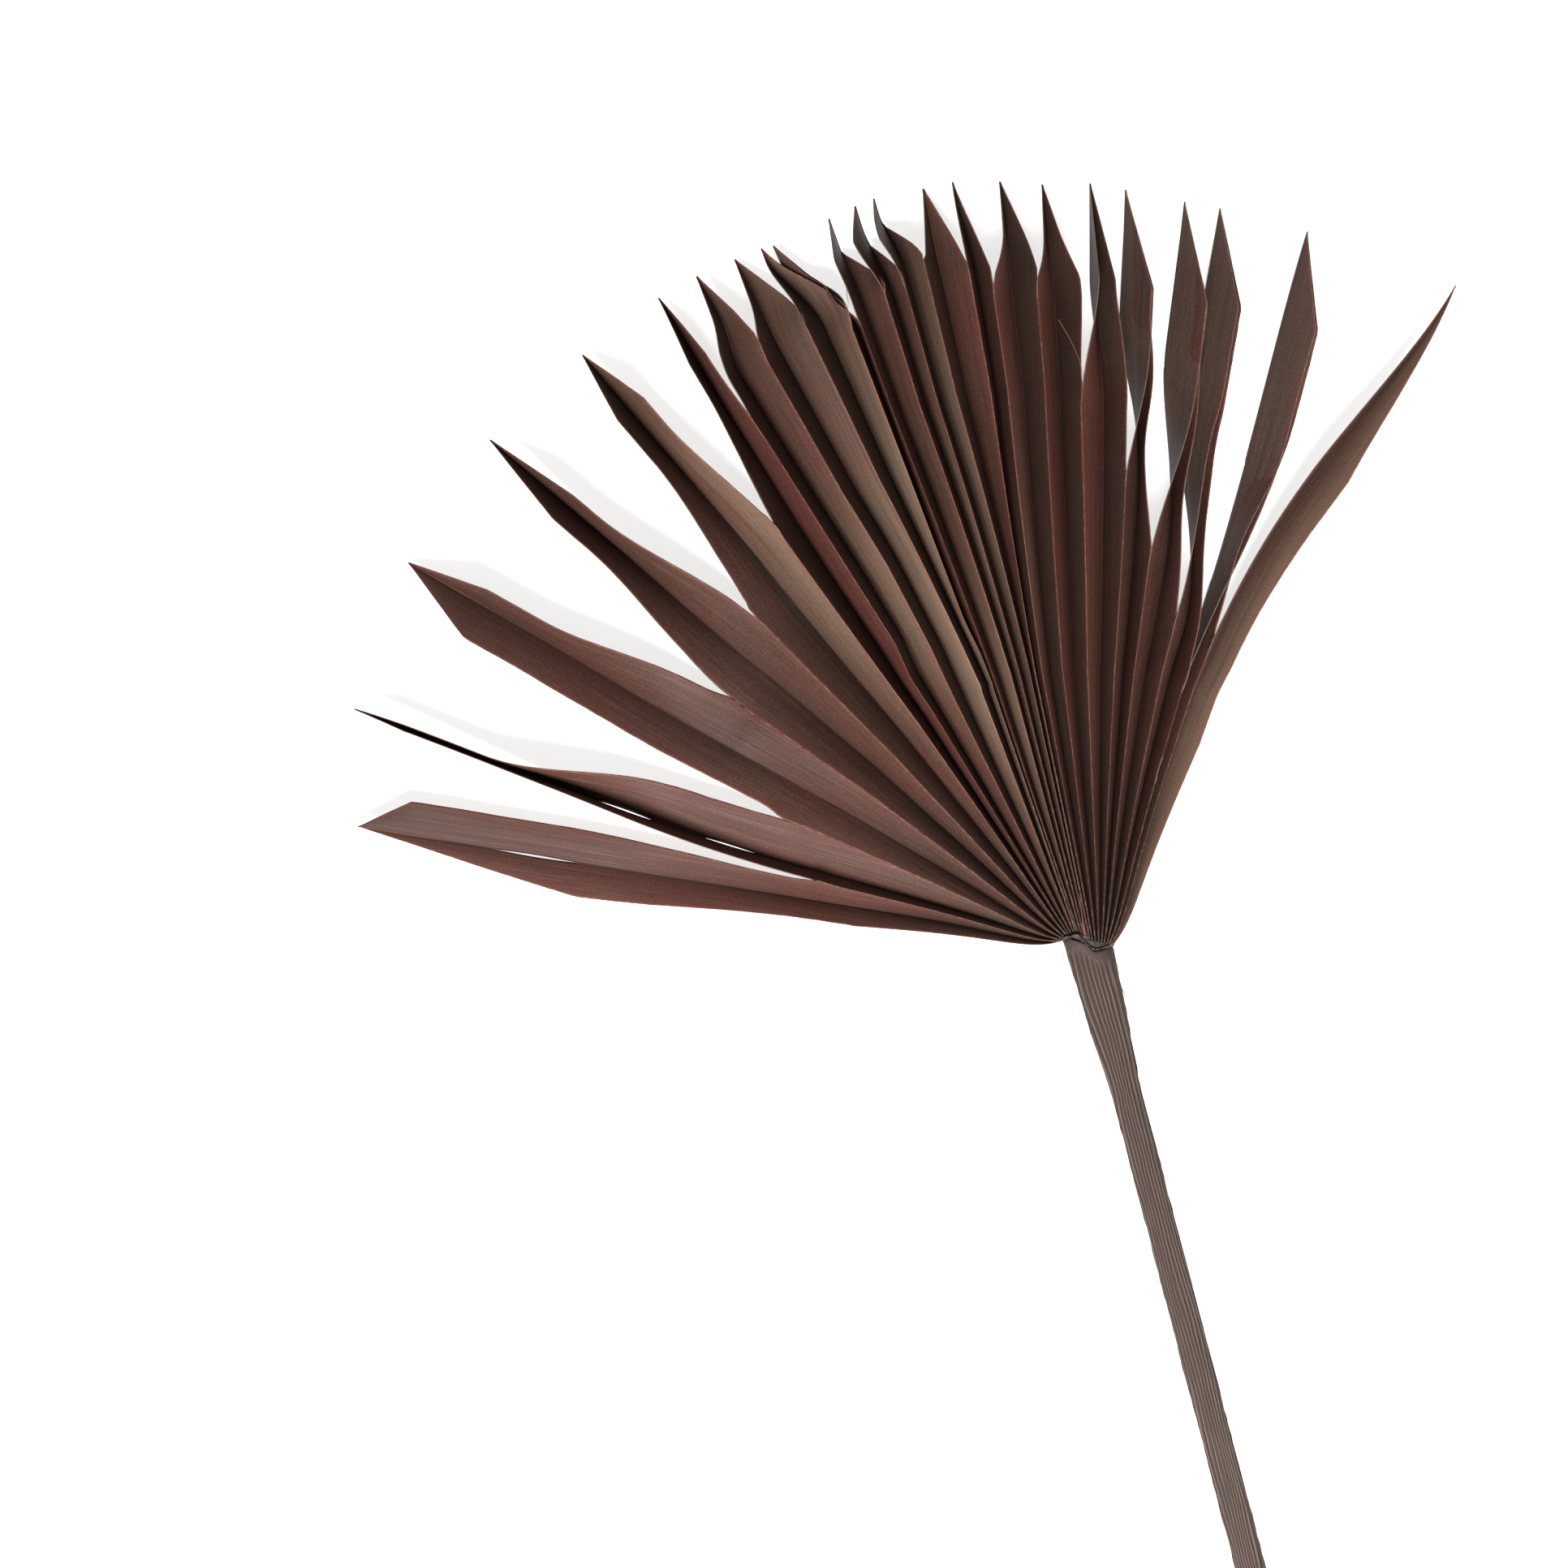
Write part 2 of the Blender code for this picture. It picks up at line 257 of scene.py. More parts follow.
@dataclass(frozen=True)
class Finish:
    """What every finish has: a name, and a way to mix its patterns and coats."""

    name: str

    def begin(self) -> tuple[Material, Tree, bpy.types.NodeInputs]:
        """Start the material.

        Returns:
            The material, its node tree and its shader's inputs.
        """
        material = bpy.data.materials.new(self.name)
        material.use_nodes = True
        return material, material.node_tree, material.node_tree.nodes["Principled BSDF"].inputs

    def grow(self, tree: Tree, place: Socket, grains: dict[str, Grain], fleck: float) -> dict[str, Socket]:
        """Make the grains as noises that follow the surface.

        Args:
            tree: The material's nodes.
            place: Place on the surface in metres, with a third number that sets the noise apart.
            grains: The grains by name.
            fleck: Strength of the noises' finer layers.

        Returns:
            The noises by the same names.
        """
        patterns = {}
        for name, grain in grains.items():
            scale = (1 / (grain.across * MM), 1 / (grain.along * MM), 1.0)
            grid = add_node(tree, "ShaderNodeMapping", {"Vector": place, "Scale": scale}).outputs[0]
            inputs = {"Vector": grid, "Scale": 1.0, "Detail": grain.detail, "Roughness": fleck}
            patterns[name] = add_node(tree, "ShaderNodeTexNoise", inputs).outputs["Fac"]
        return patterns

    def lay(self, tree: Tree, first: str, coats: Iterable[Coat], patterns: dict[str, Socket]) -> Socket:
        """Lay the coats one over another.

        Args:
            tree: The material's nodes.
            first: The lowest colour.
            coats: The others, from the bottom up.
            patterns: The sockets that the fades name.

        Returns:
            The finished colour.
        """
        colour = linear(first)
        for coat in coats:
            amount = 1.0
            for fade in coat.fades:
                ends = {"From Min": fade.low, "From Max": fade.high, "To Min": fade.start, "To Max": fade.end}
                inputs = {"Value": patterns[fade.pattern]} | ends
                inputs = {0: amount, 1: add_node(tree, "ShaderNodeMapRange", inputs).outputs["Result"]}
                amount = add_node(tree, "ShaderNodeMath", inputs, operation="MULTIPLY").outputs[0]
            inputs = {"Fac": amount, "Color1": colour, "Color2": linear(coat.colour)}
            colour = add_node(tree, "ShaderNodeMixRGB", inputs).outputs["Color"]
        return colour


@dataclass(frozen=True)
class DyedLamina(Finish):
    """Preserved palm lamina, dyed burgundy-brown through and dried: satin, with fine long veins.

    The dye took unevenly: red where the tissue is thick, olive-brown towards the tips.  Light and shade are
    painted
    over it: each half is lighter or darker as it faces the light, a pale painted highlight lies where the
    light glances off the laminae and along every edge, and painted shade lies in the troughs and low folds.
    The veins are drawn a little coarser than the real 0.3 mm, so that they show.
    """

    name: str = "dyed_palm_lamina"
    body: str = "4a2e27"
    olive: str = "40332a"
    red: str = "5e2e28"
    # Colour of the painted highlight where the light glances off the laminae.
    painted_highlight: str = "8b7562"
    ridge: str = "74352f"
    pale: str = "a8907f"
    groove: str = "1c110f"
    tip: str = "3f332b"
    bare: str = "8a5038"
    roughness: float = 0.56
    gloss_spread: float = 0.06
    shine: float = 0.22
    vein_height: float = 0.14 * MM
    under: bool = False

    GRAINS = {
        "veins": Grain(0.62, 60.0, 2.0),  # the main veins, at twice their real 0.3 mm
        "hairs": Grain(0.279, 20.0, 1.0),  # finer veins between them
        "bands": Grain(3.4, 150.0, 2.0),  # low folds along the lamina
        "hatch": Grain(2.4, 0.6, 1.0),  # cross veins, coarser than the real ones
        "painted_sheen": Grain(0.5, 0.9, 1.0),  # flecks of painted sheen on the skin
        "clouds": Grain(14.0, 48.0, 4.0),  # uneven dye
        "blots": Grain(4.0, 7.0, 3.0),  # small dark stains
        "specks": Grain(0.5, 2.6, 2.0),  # spots that break up the painted highlight along the edges
    }
    RELIEF = {"veins": 1.0, "hairs": 0.5, "hatch": 0.35, "bands": 1.6}
    SEGMENTS_APART = 37.0  # how far apart in the noise two segments lie

    def coats(self) -> list[Coat]:
        """Set out the dye's colours, with the painted highlights and painted shade over them.

        Returns:
            The coats, from the bottom up.
        """
        coats = [
            Coat(self.olive, (Fade("clouds", 0.36, 0.64),)),
            Coat(self.red, (Fade("red", 0.0, 1.0, 0.0, 0.85),)),
            # Painted highlight where the light glances off each half, strongest on the raised folds.
            Coat(self.painted_highlight, (Fade("painted_highlight", 0.0, 1.0), Fade("bands", 0.30, 0.60, 0.65, 1.0))),
            # Painted shade in the low folds along the lamina.
            Coat(self.groove, (Fade("bands", 0.45, 0.30, 0.0, 0.22),)),
            Coat(self.pale, (Fade("veins", 0.52, 0.74, 0.0, 0.09),)),
            Coat(self.groove, (Fade("veins", 0.46, 0.28, 0.0, 0.14),)),
            Coat(self.pale, (Fade("hairs", 0.52, 0.72, 0.0, 0.07),)),
            Coat(self.groove, (Fade("hatch", 0.38, 0.62, 0.11, 0.0),)),
            # Painted sheen: pale flecks over the skin.
            Coat(self.pale, (Fade("painted_sheen", 0.40, 0.64, 0.0, 0.06),)),
            Coat(self.groove, (Fade("blots", 0.68, 0.80, 0.0, 0.30),)),
            Coat(self.tip, (Fade("to_tip", 60 * MM, 4 * MM, 0.0, 0.45),)),
        ]
        if not self.under:
            near_tip = Fade("to_tip", 40 * MM, 22 * MM, 0.0, 0.7)
            # Painted shade: a dark line down the bottom of each trough, along the midrib.
            coats.append(Coat(self.groove, (Fade("to_midrib", 1.0 * MM, 0.1 * MM, 0.0, 0.6),)))
            coats.append(Coat(self.bare, (Fade("to_midrib", 0.45 * MM, 0.2 * MM), near_tip)))
        beyond_root = Fade("to_root", 20 * MM, 110 * MM, 0.2, 1.0)
        rim = (Fade("to_edge", 2.0 * MM, 0.5 * MM), Fade("clouds", 0.35, 0.62, 0.05, 0.38), beyond_root)
        # Painted highlight: a thin pale speckled line along every edge and ridge.
        lip = (Fade("to_edge", 0.60 * MM, 0.15 * MM), Fade("specks", 0.48, 0.72, 0.0, 0.45))
        return coats + [Coat(self.ridge, rim), Coat(self.pale, lip)]

    def build(self) -> Material:
        """Make the material.

        Returns:
            The material; it reads the blade's maps "veins" and "edges" and its attribute "dye".
        """
        material, tree, shader = self.begin()
        veins = add_node(tree, "ShaderNodeUVMap", uv_map="veins").outputs["UV"]
        edges = add_node(tree, "ShaderNodeUVMap", uv_map="edges").outputs["UV"]
        # The attribute "dye" carries the segment's number, its red, its painted highlight and its lightness,
        # which is painted light and shade.
        dye = add_node(tree, "ShaderNodeAttribute", attribute_name="dye").outputs
        share = add_node(tree, "ShaderNodeSeparateColor", {"Color": dye["Color"]}).outputs
        edge = add_node(tree, "ShaderNodeSeparateXYZ", {"Vector": edges}).outputs
        place = add_node(tree, "ShaderNodeSeparateXYZ", {"Vector": veins}).outputs
        inputs = {0: share["Red"], 1: self.SEGMENTS_APART}
        apart = add_node(tree, "ShaderNodeMath", inputs, operation="MULTIPLY").outputs[0]
        inputs = {"X": place["X"], "Y": place["Y"], "Z": apart}
        own = add_node(tree, "ShaderNodeCombineXYZ", inputs).outputs["Vector"]

        patterns = self.grow(tree, own, self.GRAINS, 0.55)
        midrib = add_node(tree, "ShaderNodeMath", {0: place["X"]}, operation="ABSOLUTE").outputs[0]
        patterns |= {"red": share["Green"], "painted_highlight": share["Blue"], "to_edge": edge["X"]}
        patterns |= {"to_tip": edge["Y"], "to_root": place["Y"], "to_midrib": midrib}
        colour = self.lay(tree, self.body, self.coats(), patterns)
        # Scale by the lightness: painted light and shade of each half and of its trough.
        inputs = {0: colour, "Scale": dye["Alpha"]}
        dyed = add_node(tree, "ShaderNodeVectorMath", inputs, operation="SCALE").outputs[0]
        tree.links.new(dyed, shader["Base Color"])

        ends = {"To Min": self.roughness + self.gloss_spread, "To Max": self.roughness - self.gloss_spread}
        inputs = {"Value": patterns["veins"], "From Min": 0.3, "From Max": 0.7} | ends
        tree.links.new(add_node(tree, "ShaderNodeMapRange", inputs).outputs["Result"], shader["Roughness"])
        shader["Specular IOR Level"].default_value = self.shine
        height = 0.0
        for name, weight in self.RELIEF.items():
            inputs = {0: patterns[name], 1: weight, 2: height}
            height = add_node(tree, "ShaderNodeMath", inputs, operation="MULTIPLY_ADD").outputs[0]
        inputs = {"Height": height, "Strength": 0.3, "Distance": self.vein_height}
        tree.links.new(add_node(tree, "ShaderNodeBump", inputs).outputs["Normal"], shader["Normal"])
        return material


@dataclass(frozen=True)
class DyedLeafstalk(Finish):
    """Dried leafstalk: hard, fibrous rind in light taupe ribs with red-brown grooves, and painted shade down
    its flanks, darkest down the right one.
    """

    name: str = "dyed_leafstalk_rind"
    rib: str = "705e52"
    # Darker tone for mottled patches, and for the painted shade down the flanks.
    side: str = "3d2d28"
    groove: str = "33241f"
    collar: str = "33221f"
    strand_height: float = 0.2 * MM

    GRAINS = {"strands": Grain(0.5, 26.0, 2.0), "patches": Grain(3.0, 30.0, 3.0)}

    def build(self) -> Material:
        """Make the material.

        Returns:
            The material; it reads the stalk's map "rind" and its attribute "relief", which holds the ribs,
            the painted shade down the flanks and the collar.
        """
        material, tree, shader = self.begin()
        rind = add_node(tree, "ShaderNodeUVMap", uv_map="rind").outputs["UV"]
        rib_shade_and_collar = add_node(tree, "ShaderNodeAttribute", attribute_name="rib_shade_and_collar").outputs["Color"]
        parts = add_node(tree, "ShaderNodeSeparateColor", {"Color": rib_shade_and_collar}).outputs
        patterns = self.grow(tree, rind, self.GRAINS, 0.6)
        patterns |= {"rib": parts["Red"], "side": parts["Green"], "collar": parts["Blue"]}
        coats = (
            Coat(self.rib, (Fade("rib", 0.25, 0.85),)),
            Coat(self.side, (Fade("patches", 0.42, 0.68, 0.0, 0.5),)),
            Coat(self.groove, (Fade("strands", 0.48, 0.32, 0.0, 0.45),)),
            # Painted shade down the flanks.
            Coat(self.side, (Fade("side", 0.0, 1.0, 0.0, 0.8),)),
            Coat(self.collar, (Fade("collar", 0.0, 1.0, 0.0, 0.9),)),
        )
        tree.links.new(self.lay(tree, self.groove, coats, patterns), shader["Base Color"])
        strands = patterns["strands"]
        inputs = {"Value": strands, "From Min": 0.3, "From Max": 0.7, "To Min": 0.66, "To Max": 0.50}
        tree.links.new(add_node(tree, "ShaderNodeMapRange", inputs).outputs["Result"], shader["Roughness"])
        inputs = {"Height": strands, "Strength": 0.5, "Distance": self.strand_height}
        tree.links.new(add_node(tree, "ShaderNodeBump", inputs).outputs["Normal"], shader["Normal"])
        return material


@dataclass(frozen=True)
class MottledTissue(Finish):
    """Dry plant tissue in which two tones mingle in small patches.

    Attributes:
        lower: The tone underneath.
        upper: The tone over it.
        patch: Size of the patches in millimetres.
        detail: How many finer layers the patches have.
        shown: Range of the pattern over which the upper tone fades in.
        roughness: How matt it is.
        folds: Height of its folds, 0 where it has none.
    """

    lower: str
    upper: str
    patch: float
    detail: float = 2.0
    shown: tuple[float, float] = (0.0, 1.0)
    roughness: float = 0.5
    folds: float = 0.0

    def build(self) -> Material:
        """Make the material.

        Returns:
            The material, patterned in object space.
        """
        material, tree, shader = self.begin()
        place = add_node(tree, "ShaderNodeTexCoord").outputs["Object"]
        inputs = {"Vector": place, "Scale": 1 / (self.patch * MM), "Detail": self.detail}
        patches = add_node(tree, "ShaderNodeTexNoise", inputs).outputs["Fac"]
        coat = Coat(self.upper, (Fade("patches", *self.shown),))
        tree.links.new(self.lay(tree, self.lower, [coat], {"patches": patches}), shader["Base Color"])
        shader["Roughness"].default_value = self.roughness
        if self.folds:
            inputs = {"Height": patches, "Strength": 0.8, "Distance": self.folds}
            tree.links.new(add_node(tree, "ShaderNodeBump", inputs).outputs["Normal"], shader["Normal"])
        return material


# Where the lamina was trimmed or torn: dry fibre ends with a little dye, paler partly from the bare fibre and
# partly from a painted highlight where the edge catches the light.
CUT_EDGE = MottledTissue("trimmed_lamina_edge", "4a332c", "8a7363", 1.5, roughness=0.7)
# The hastula's shrunken, nearly black rim, with small glossy folds; its paler patches are painted highlights
# on them.
CREST_RIM = MottledTissue("shrivelled_hastula", "1c1311", "54403a", 1.6, 3.0, (0.45, 0.68), 0.58, 0.4 * MM)
# Loose vascular fibres: blackened with dye, left undyed and orange-tan, and bleached.
DARK_FIBRE = MottledTissue("blackened_fibre", "2a1d1a", "4a3128", 5.0)
TAN_FIBRE = MottledTissue("undyed_fibre", "7d4029", "4f2c22", 5.0)
PALE_FIBRE = MottledTissue("bleached_fibre", "8c7866", "65503f", 5.0)


@dataclass(frozen=True)
class PaleTable(Finish):
    """Matt white laminate table top under studio light."""

    name: str = "matt_white_laminate"
    colour: str = "f7f7f6"
    glow: float = 0.78

    def build(self) -> Material:
        """Make the material, with the glow of a lit table that keeps shadows faint.

        Returns:
            The material.
        """
        material, _, shader = self.begin()
        for name in ("Base Color", "Emission Color"):
            shader[name].default_value = linear(self.colour)
        shader["Roughness"].default_value = 0.9
        shader["Specular IOR Level"].default_value = 0.1
        shader["Emission Strength"].default_value = self.glow
        return material


# --- layout of the fan -----------------------------------------------------------------------------


@dataclass(frozen=True)
class Segment:
    """One pleat of the fan, from its midrib's point of view.

    Attributes:
        point: Azimuth of its tip.
        reach: Distance of the tip from the hastula.
        near: Azimuth of the ridge on its right at FanLayout.near_radius.
        far: The same at FanLayout.far_radius.
        split: Distance at which it parts from its right-hand neighbour.
        left: Slope of its freed left half above the horizontal, beyond 90 when folded right over.
        right: The same for its right half.
        bend: Share of its free length over which its midrib swings round to the tip's azimuth.
        step: How much shorter its right half is at the tip.
        roll: Share of its free length over which its halves turn to their own slopes.
        hold: Distance beyond its split over which its right half keeps its slope.
        cut: Length of its slanting trim, as a share of the usual one.
        lean: How far its joined valley lies off the middle towards the left, as a share of the span.
    """

    point: float
    reach: float
    near: float
    far: float
    split: float
    left: float
    right: float
    bend: float = 0.6
    step: float = 0.0
    roll: float = 0.6
    hold: float = 0.0
    cut: float = 1.0
    lean: float = 0.0


@dataclass(frozen=True)
class Slit:
    """A narrow lens-shaped tear along a midrib or a ridge."""

    line: int
    start: float
    end: float
    width: float = 0.0008

    def half_gap(self, line: int, radius: float) -> float:
        """Half its width at a distance along a line, 0 off the slit."""
        share = (radius - self.start) / (self.end - self.start)
        return self.width / 2 * math.sin(math.pi * share) if line == self.line and 0 < share < 1 else 0.0


@dataclass(frozen=True)
class Tone:
    """How the dye took on one half of a segment, and the light and shade painted on it.

    Attributes:
        red: Share of red.
        gain: Lightness of the half: painted light on a half that faces the light, painted shade on one that
            faces away.
        painted_highlight: Share of painted highlight where it is strongest.
        middle: Distance from the hastula where it is strongest.
        spread: Distance over which it fades.
        shaded: Distance out to which the pleats' roots lie in painted shade.
        trough: Lightness of the trough at the root and further out, and of the ridge: painted shade that
            deepens into the trough and towards the root.
    """

    red: float = 0.3
    gain: float = 1.0
    painted_highlight: float = 0.0
    middle: float = 0.15
    spread: float = 0.06
    shaded: float = 0.100
    trough: tuple[float, float, float] = (0.30, 0.84, 1.1)

    def at(self, chance: float, radius: float, share: float) -> tuple[float, float, float, float]:
        """How the dye took at one point, with the light and shade painted there.

        Args:
            chance: A number of the segment's own.
            radius: Distance from the hastula.
            share: Share of the way from the midrib to the edge.

        Returns:
            The chance, the shares of red and of painted highlight, and the lightness, which is painted light
            and shade.
        """
        # Painted highlight, strongest at its middle distance and towards the edge.
        painted_highlight = self.painted_highlight * bell(radius - self.middle, self.spread) * mix(0.35, 1.0, share)
        out = smooth(radius / self.shaded)
        # Painted shade: dark at the bottom of the trough near the root, lighter further out and up to the
        # ridge.
        root, further, ridge = self.trough
        return (chance, self.red * out, painted_highlight, self.gain * mix(mix(root, further, out), ridge, share))


EDGE_RADIUS = 0.090
SEGMENTS = (
    Segment(156.0, 0.289, 151.7, 151.9, 0.100, 10, 14),
    Segment(147.4, 0.301, 142.3, 142.3, 0.122, 84, 88, 1.0, hold=0.045, lean=0.28),
    Segment(135.9, 0.305, 130.4, 130.8, 0.163, 30, 70, cut=1.3),
    Segment(125.1, 0.306, 120.9, 120.4, 0.178, 65, 77, cut=1.4),
    Segment(115.9, 0.304, 112.7, 112.0, 0.200, 70, 68),
    Segment(108.9, 0.304, 109.0, 107.9, 0.235, 79, 78, 1.0, lean=0.15),
    Segment(105.7, 0.303, 103.9, 104.2, 0.260, 74, 62, lean=0.15),
    Segment(102.6, 0.302, 98.2, 99.9, 0.2625, 78, 36, 0.5, lean=0.15),
    Segment(100.5, 0.301, 95.8, 96.4, 0.2575, 80, 36, 0.85, roll=0.8, cut=1.12, lean=0.15),
    Segment(99.6, 0.300, 94.9, 95.6, 0.2575, 150, 20, 0.65, roll=0.65, cut=1.1, lean=0.15),
    Segment(95.0, 0.302, 91.5, 92.8, 0.265, 78, 44, 0.6, 0.014, cut=0.52, lean=0.15),
    Segment(92.9, 0.303, 89.8, 91.0, 0.265, 72, 68, 0.8, 0.016, cut=0.42, lean=0.15),
    Segment(91.4, 0.304, 87.7, 89.0, 0.275, 76, 57, 0.8, 0.011, cut=0.48, lean=0.15),
    Segment(87.7, 0.303, 86.6, 85.5, 0.2625, 72, 50, 0.8, lean=0.15),
    Segment(85.5, 0.303, 85.2, 83.8, 0.255, 82, 72, 1.0, lean=0.15),
    Segment(82.0, 0.301, 81.0, 80.0, 0.2525, 84, 52, 0.6),
    Segment(78.9, 0.298, 75.9, 76.4, 0.210, 86, 57),
    Segment(75.3, 0.298, 70.3, 71.4, 0.180, 100, 60),
    Segment(72.6, 0.296, 66.3, 67.4, 0.152, 132, 52),
    Segment(68.1, 0.293, 60.6, 61.0, 0.128, 138, 44),
    Segment(65.3, 0.293, 55.7, 55.8, 0.106, 142, 32, 0.5),
    Segment(58.4, 0.292, 53.5, 53.5, 0.124, 152, 12, 1.0, cut=1.1),
    Segment(46.4, 0.295, 47.6, 46.2, EDGE_RADIUS, 80, 30, 1.0),
)
COUNT = len(SEGMENTS)
RIDGE_KINKS = {
    6: ((0.110, 0.126, 0.140, 0.220), (109.0, 109.0, 108.0, 107.9)),
    7: ((0.110, 0.132, 0.168, 0.200, 0.260), (103.9, 103.3, 103.3, 103.9, 104.2)),
    8: ((0.110, 0.128, 0.200, 0.260), (98.0, 98.3, 99.6, 99.9)),
    9: ((0.110, 0.122, 0.136, 0.220), (95.7, 95.8, 96.4, 96.4)),
}
MIDRIB_SLITS = (Slit(0, 0.202, 0.234), Slit(1, 0.136, 0.156, 0.0006), Slit(1, 0.178, 0.199))
RIDGE_SLITS = (Slit(21, 0.069, 0.079, 0.0018),)
# Each half of each segment: its share of red, its lightness as painted light and shade, then its painted
# highlight with the distance where it is strongest and the distance over which it fades.
TONES = (
    (Tone(0.6, 1.0), Tone(0.6, 0.85)),
    (Tone(0.5, 0.95), Tone(0.5, 1.0)),
    (Tone(0.4, 0.95), Tone(0.35, 0.9)),
    (Tone(0.3, 0.9), Tone(0.3, 0.95)),
    (Tone(0.2, 0.85), Tone(0.3, 1.1, 0.45, 0.20, 0.08)),
    (Tone(0.3, 0.5), Tone(0.85, 0.9)),
    (Tone(0.2, 0.5), Tone(0.3, 1.1, 0.5, 0.155, 0.045)),
    (Tone(0.2, 0.5), Tone(0.1, 1.2, 0.65, 0.14, 0.09)),
    (Tone(0.2, 0.5), Tone(0.1, 1.25, 0.85, 0.15, 0.10)),
    (Tone(0.6, 0.7), Tone(0.8, 1.0)),
    (Tone(0.4, 0.65), Tone(0.3, 1.15, 0.6, 0.10, 0.05)),
    (Tone(0.3, 0.65), Tone(0.4, 1.15, 0.6, 0.15, 0.07)),
    (Tone(0.3, 0.65), Tone(0.15, 1.1, 0.5, 0.17, 0.10)),
    (Tone(0.2, 0.65), Tone(0.45, 1.15)),
    (Tone(0.7, 0.85), Tone(0.5, 0.7)),
    (Tone(0.7, 1.05, 0.3), Tone(0.1, 0.62)),
    (Tone(0.8, 0.95), Tone(0.1, 0.62)),
    (Tone(0.7, 0.95), Tone(0.1, 0.65)),
    (Tone(0.3, 0.9), Tone(0.4, 0.7)),
    (Tone(0.3, 0.9), Tone(0.5, 0.75)),
    (Tone(0.3, 0.9), Tone(0.5, 0.75)),
    (Tone(0.3, 0.95), Tone(0.3, 0.9)),
    (Tone(0.4, 0.6), Tone(0.2, 1.1, 0.3, 0.20, 0.20)),
)


@dataclass(frozen=True)
class FanLayout:
    """The rules that give each ridge, valley and free edge its place in space.

    The methods take the number of a segment, or of a ridge, and a distance from the hastula.  Ridge 0 is
    the left margin, and ridge n lies on the left of segment n.
    """

    thickness: float = 0.0006
    lamina_root: float = 0.002
    lamina_growth: float = 0.0165
    full_width_radius: float = 0.200
    outer_size: float = 0.74
    outer_count: int = 3
    cut_first: float = 0.026
    cut_last: float = 0.041
    margin_taper: float = 0.088
    tip_width: float = 0.012
    near_radius: float = 0.110
    far_radius: float = 0.220
    roll_closing: float = 24.0
    margin_heights: tuple[float, float] = (0.8, 0.35)
    flattest_depth: float = 0.15
    tip_lift: float = 0.006
    lift_step: float = 2.4
    rolled_over: float = 120.0
    root_height: float = 0.0042
    settle_radius: float = 0.080
    left_margin: tuple[float, float] = (160.3, 159.8)
    crest_left: float = -0.0108
    crest_right: float = 0.0084
    crest_high_y: float = 0.0060
    crest_low_y: float = -0.0014
    crest_turn: tuple[float, float] = (-0.0037, 0.0024)
    root_overlap: float = 0.0006
    root_bow: float = 0.0022
    bow_radius: float = 0.016
    lean_radius: float = 0.060

    def crest_y(self, x: float) -> float:
        """How far up the leaf the hastula's crest lies at x."""
        start, end = self.crest_turn
        return mix(self.crest_high_y, self.crest_low_y, smooth((x - start) / (end - start)))

    def size_of(self, index: int) -> float:
        """Relative size of a segment: the outermost ones are smaller."""
        inner = min(index, COUNT - 1 - index)
        return mix(self.outer_size, 1.0, smooth(inner / self.outer_count))

    def lamina_width(self, index: int, radius: float) -> float:
        """True width of one half of a segment, before the tip is trimmed."""
        growth = math.sin(math.pi / 2 * min(radius / self.full_width_radius, 1.0))
        return (self.lamina_root + self.lamina_growth * growth) * self.size_of(index)

    def cut_length(self, index: int) -> float:
        """Length of the slanting trim at a segment's tip."""
        usual = mix(self.cut_first, self.cut_last, index / (COUNT - 1))
        return usual * self.size_of(index) * SEGMENTS[index].cut

    def trim(self, index: int, side: Side, radius: float) -> float:
        """Find how much of a lamina's width the trim leaves.

        Args:
            index: Which segment.
            side: Which half.
            radius: Distance along the segment.

        Returns:
            The share that is left.
        """
        segment = SEGMENTS[index]
        outermost = (index, side) == (0, Side.LEFT) or index == COUNT - 1
        length = self.margin_taper if outermost else self.cut_length(index)
        reach = segment.reach - (segment.step if side else 0.0)
        return min(max((reach - radius) / length, self.tip_width), 1.0)

    def split_radius(self, ridge: int) -> float:
        """Where a ridge ends and its two segments part."""
        return EDGE_RADIUS if ridge == 0 else SEGMENTS[ridge - 1].split

    def ridge_plan(self, ridge: int, radius: float) -> Vector:
        """Place a ridge in plan: bowed out of the crest at first, then along its azimuths.

        Args:
            ridge: Which ridge.
            radius: Distance along it.

        Returns:
            Its point, at height 0.
        """
        near, far = self.left_margin if ridge == 0 else (SEGMENTS[ridge - 1].near, SEGMENTS[ridge - 1].far)
        if radius < self.near_radius:
            x = mix(self.crest_left, self.crest_right, ridge / COUNT)
            root = Vector((x, self.crest_y(x) - self.root_overlap, 0.0))
            out = polar(self.near_radius, near)
            line = (out - root).normalized()
            aside = (1.0 - 2.0 * ridge / COUNT) ** 3 * self.root_bow
            rise = radius / self.bow_radius
            bow = aside * rise * math.exp(1.0 - rise) * (1.0 - smooth(radius / self.near_radius))
            return mix(root, out, radius / self.near_radius) + Vector((-line.y, line.x, 0.0)) * bow
        if ridge in RIDGE_KINKS:
            return polar(radius, float(interp(radius, *RIDGE_KINKS[ridge])))
        share = min((radius - self.near_radius) / (self.far_radius - self.near_radius), 1.0)
        return polar(radius, mix(near, far, share))

    def pleat_floor(self, radius: float) -> float:
        """Height of the pleats' valleys, which come down from the stalk to lie on the surface."""
        return self.thickness / 2 + self.root_height * (1.0 - smooth(radius / self.settle_radius))

    def fold_depth(self, index: int, radius: float, half_span: float) -> float:
        """Depth of a joined pleat whose ridges lie this far from its middle: it never lies quite flat."""
        width = self.lamina_width(index, radius)
        return math.sqrt(max(width**2 - half_span**2, (self.flattest_depth * width) ** 2))

    def pleat_depth(self, index: int, radius: float) -> float:
        """Depth of a joined pleat between its two ridges."""
        span = self.ridge_plan(index, radius) - self.ridge_plan(index + 1, radius)
        return self.fold_depth(index, radius, span.length / 2)

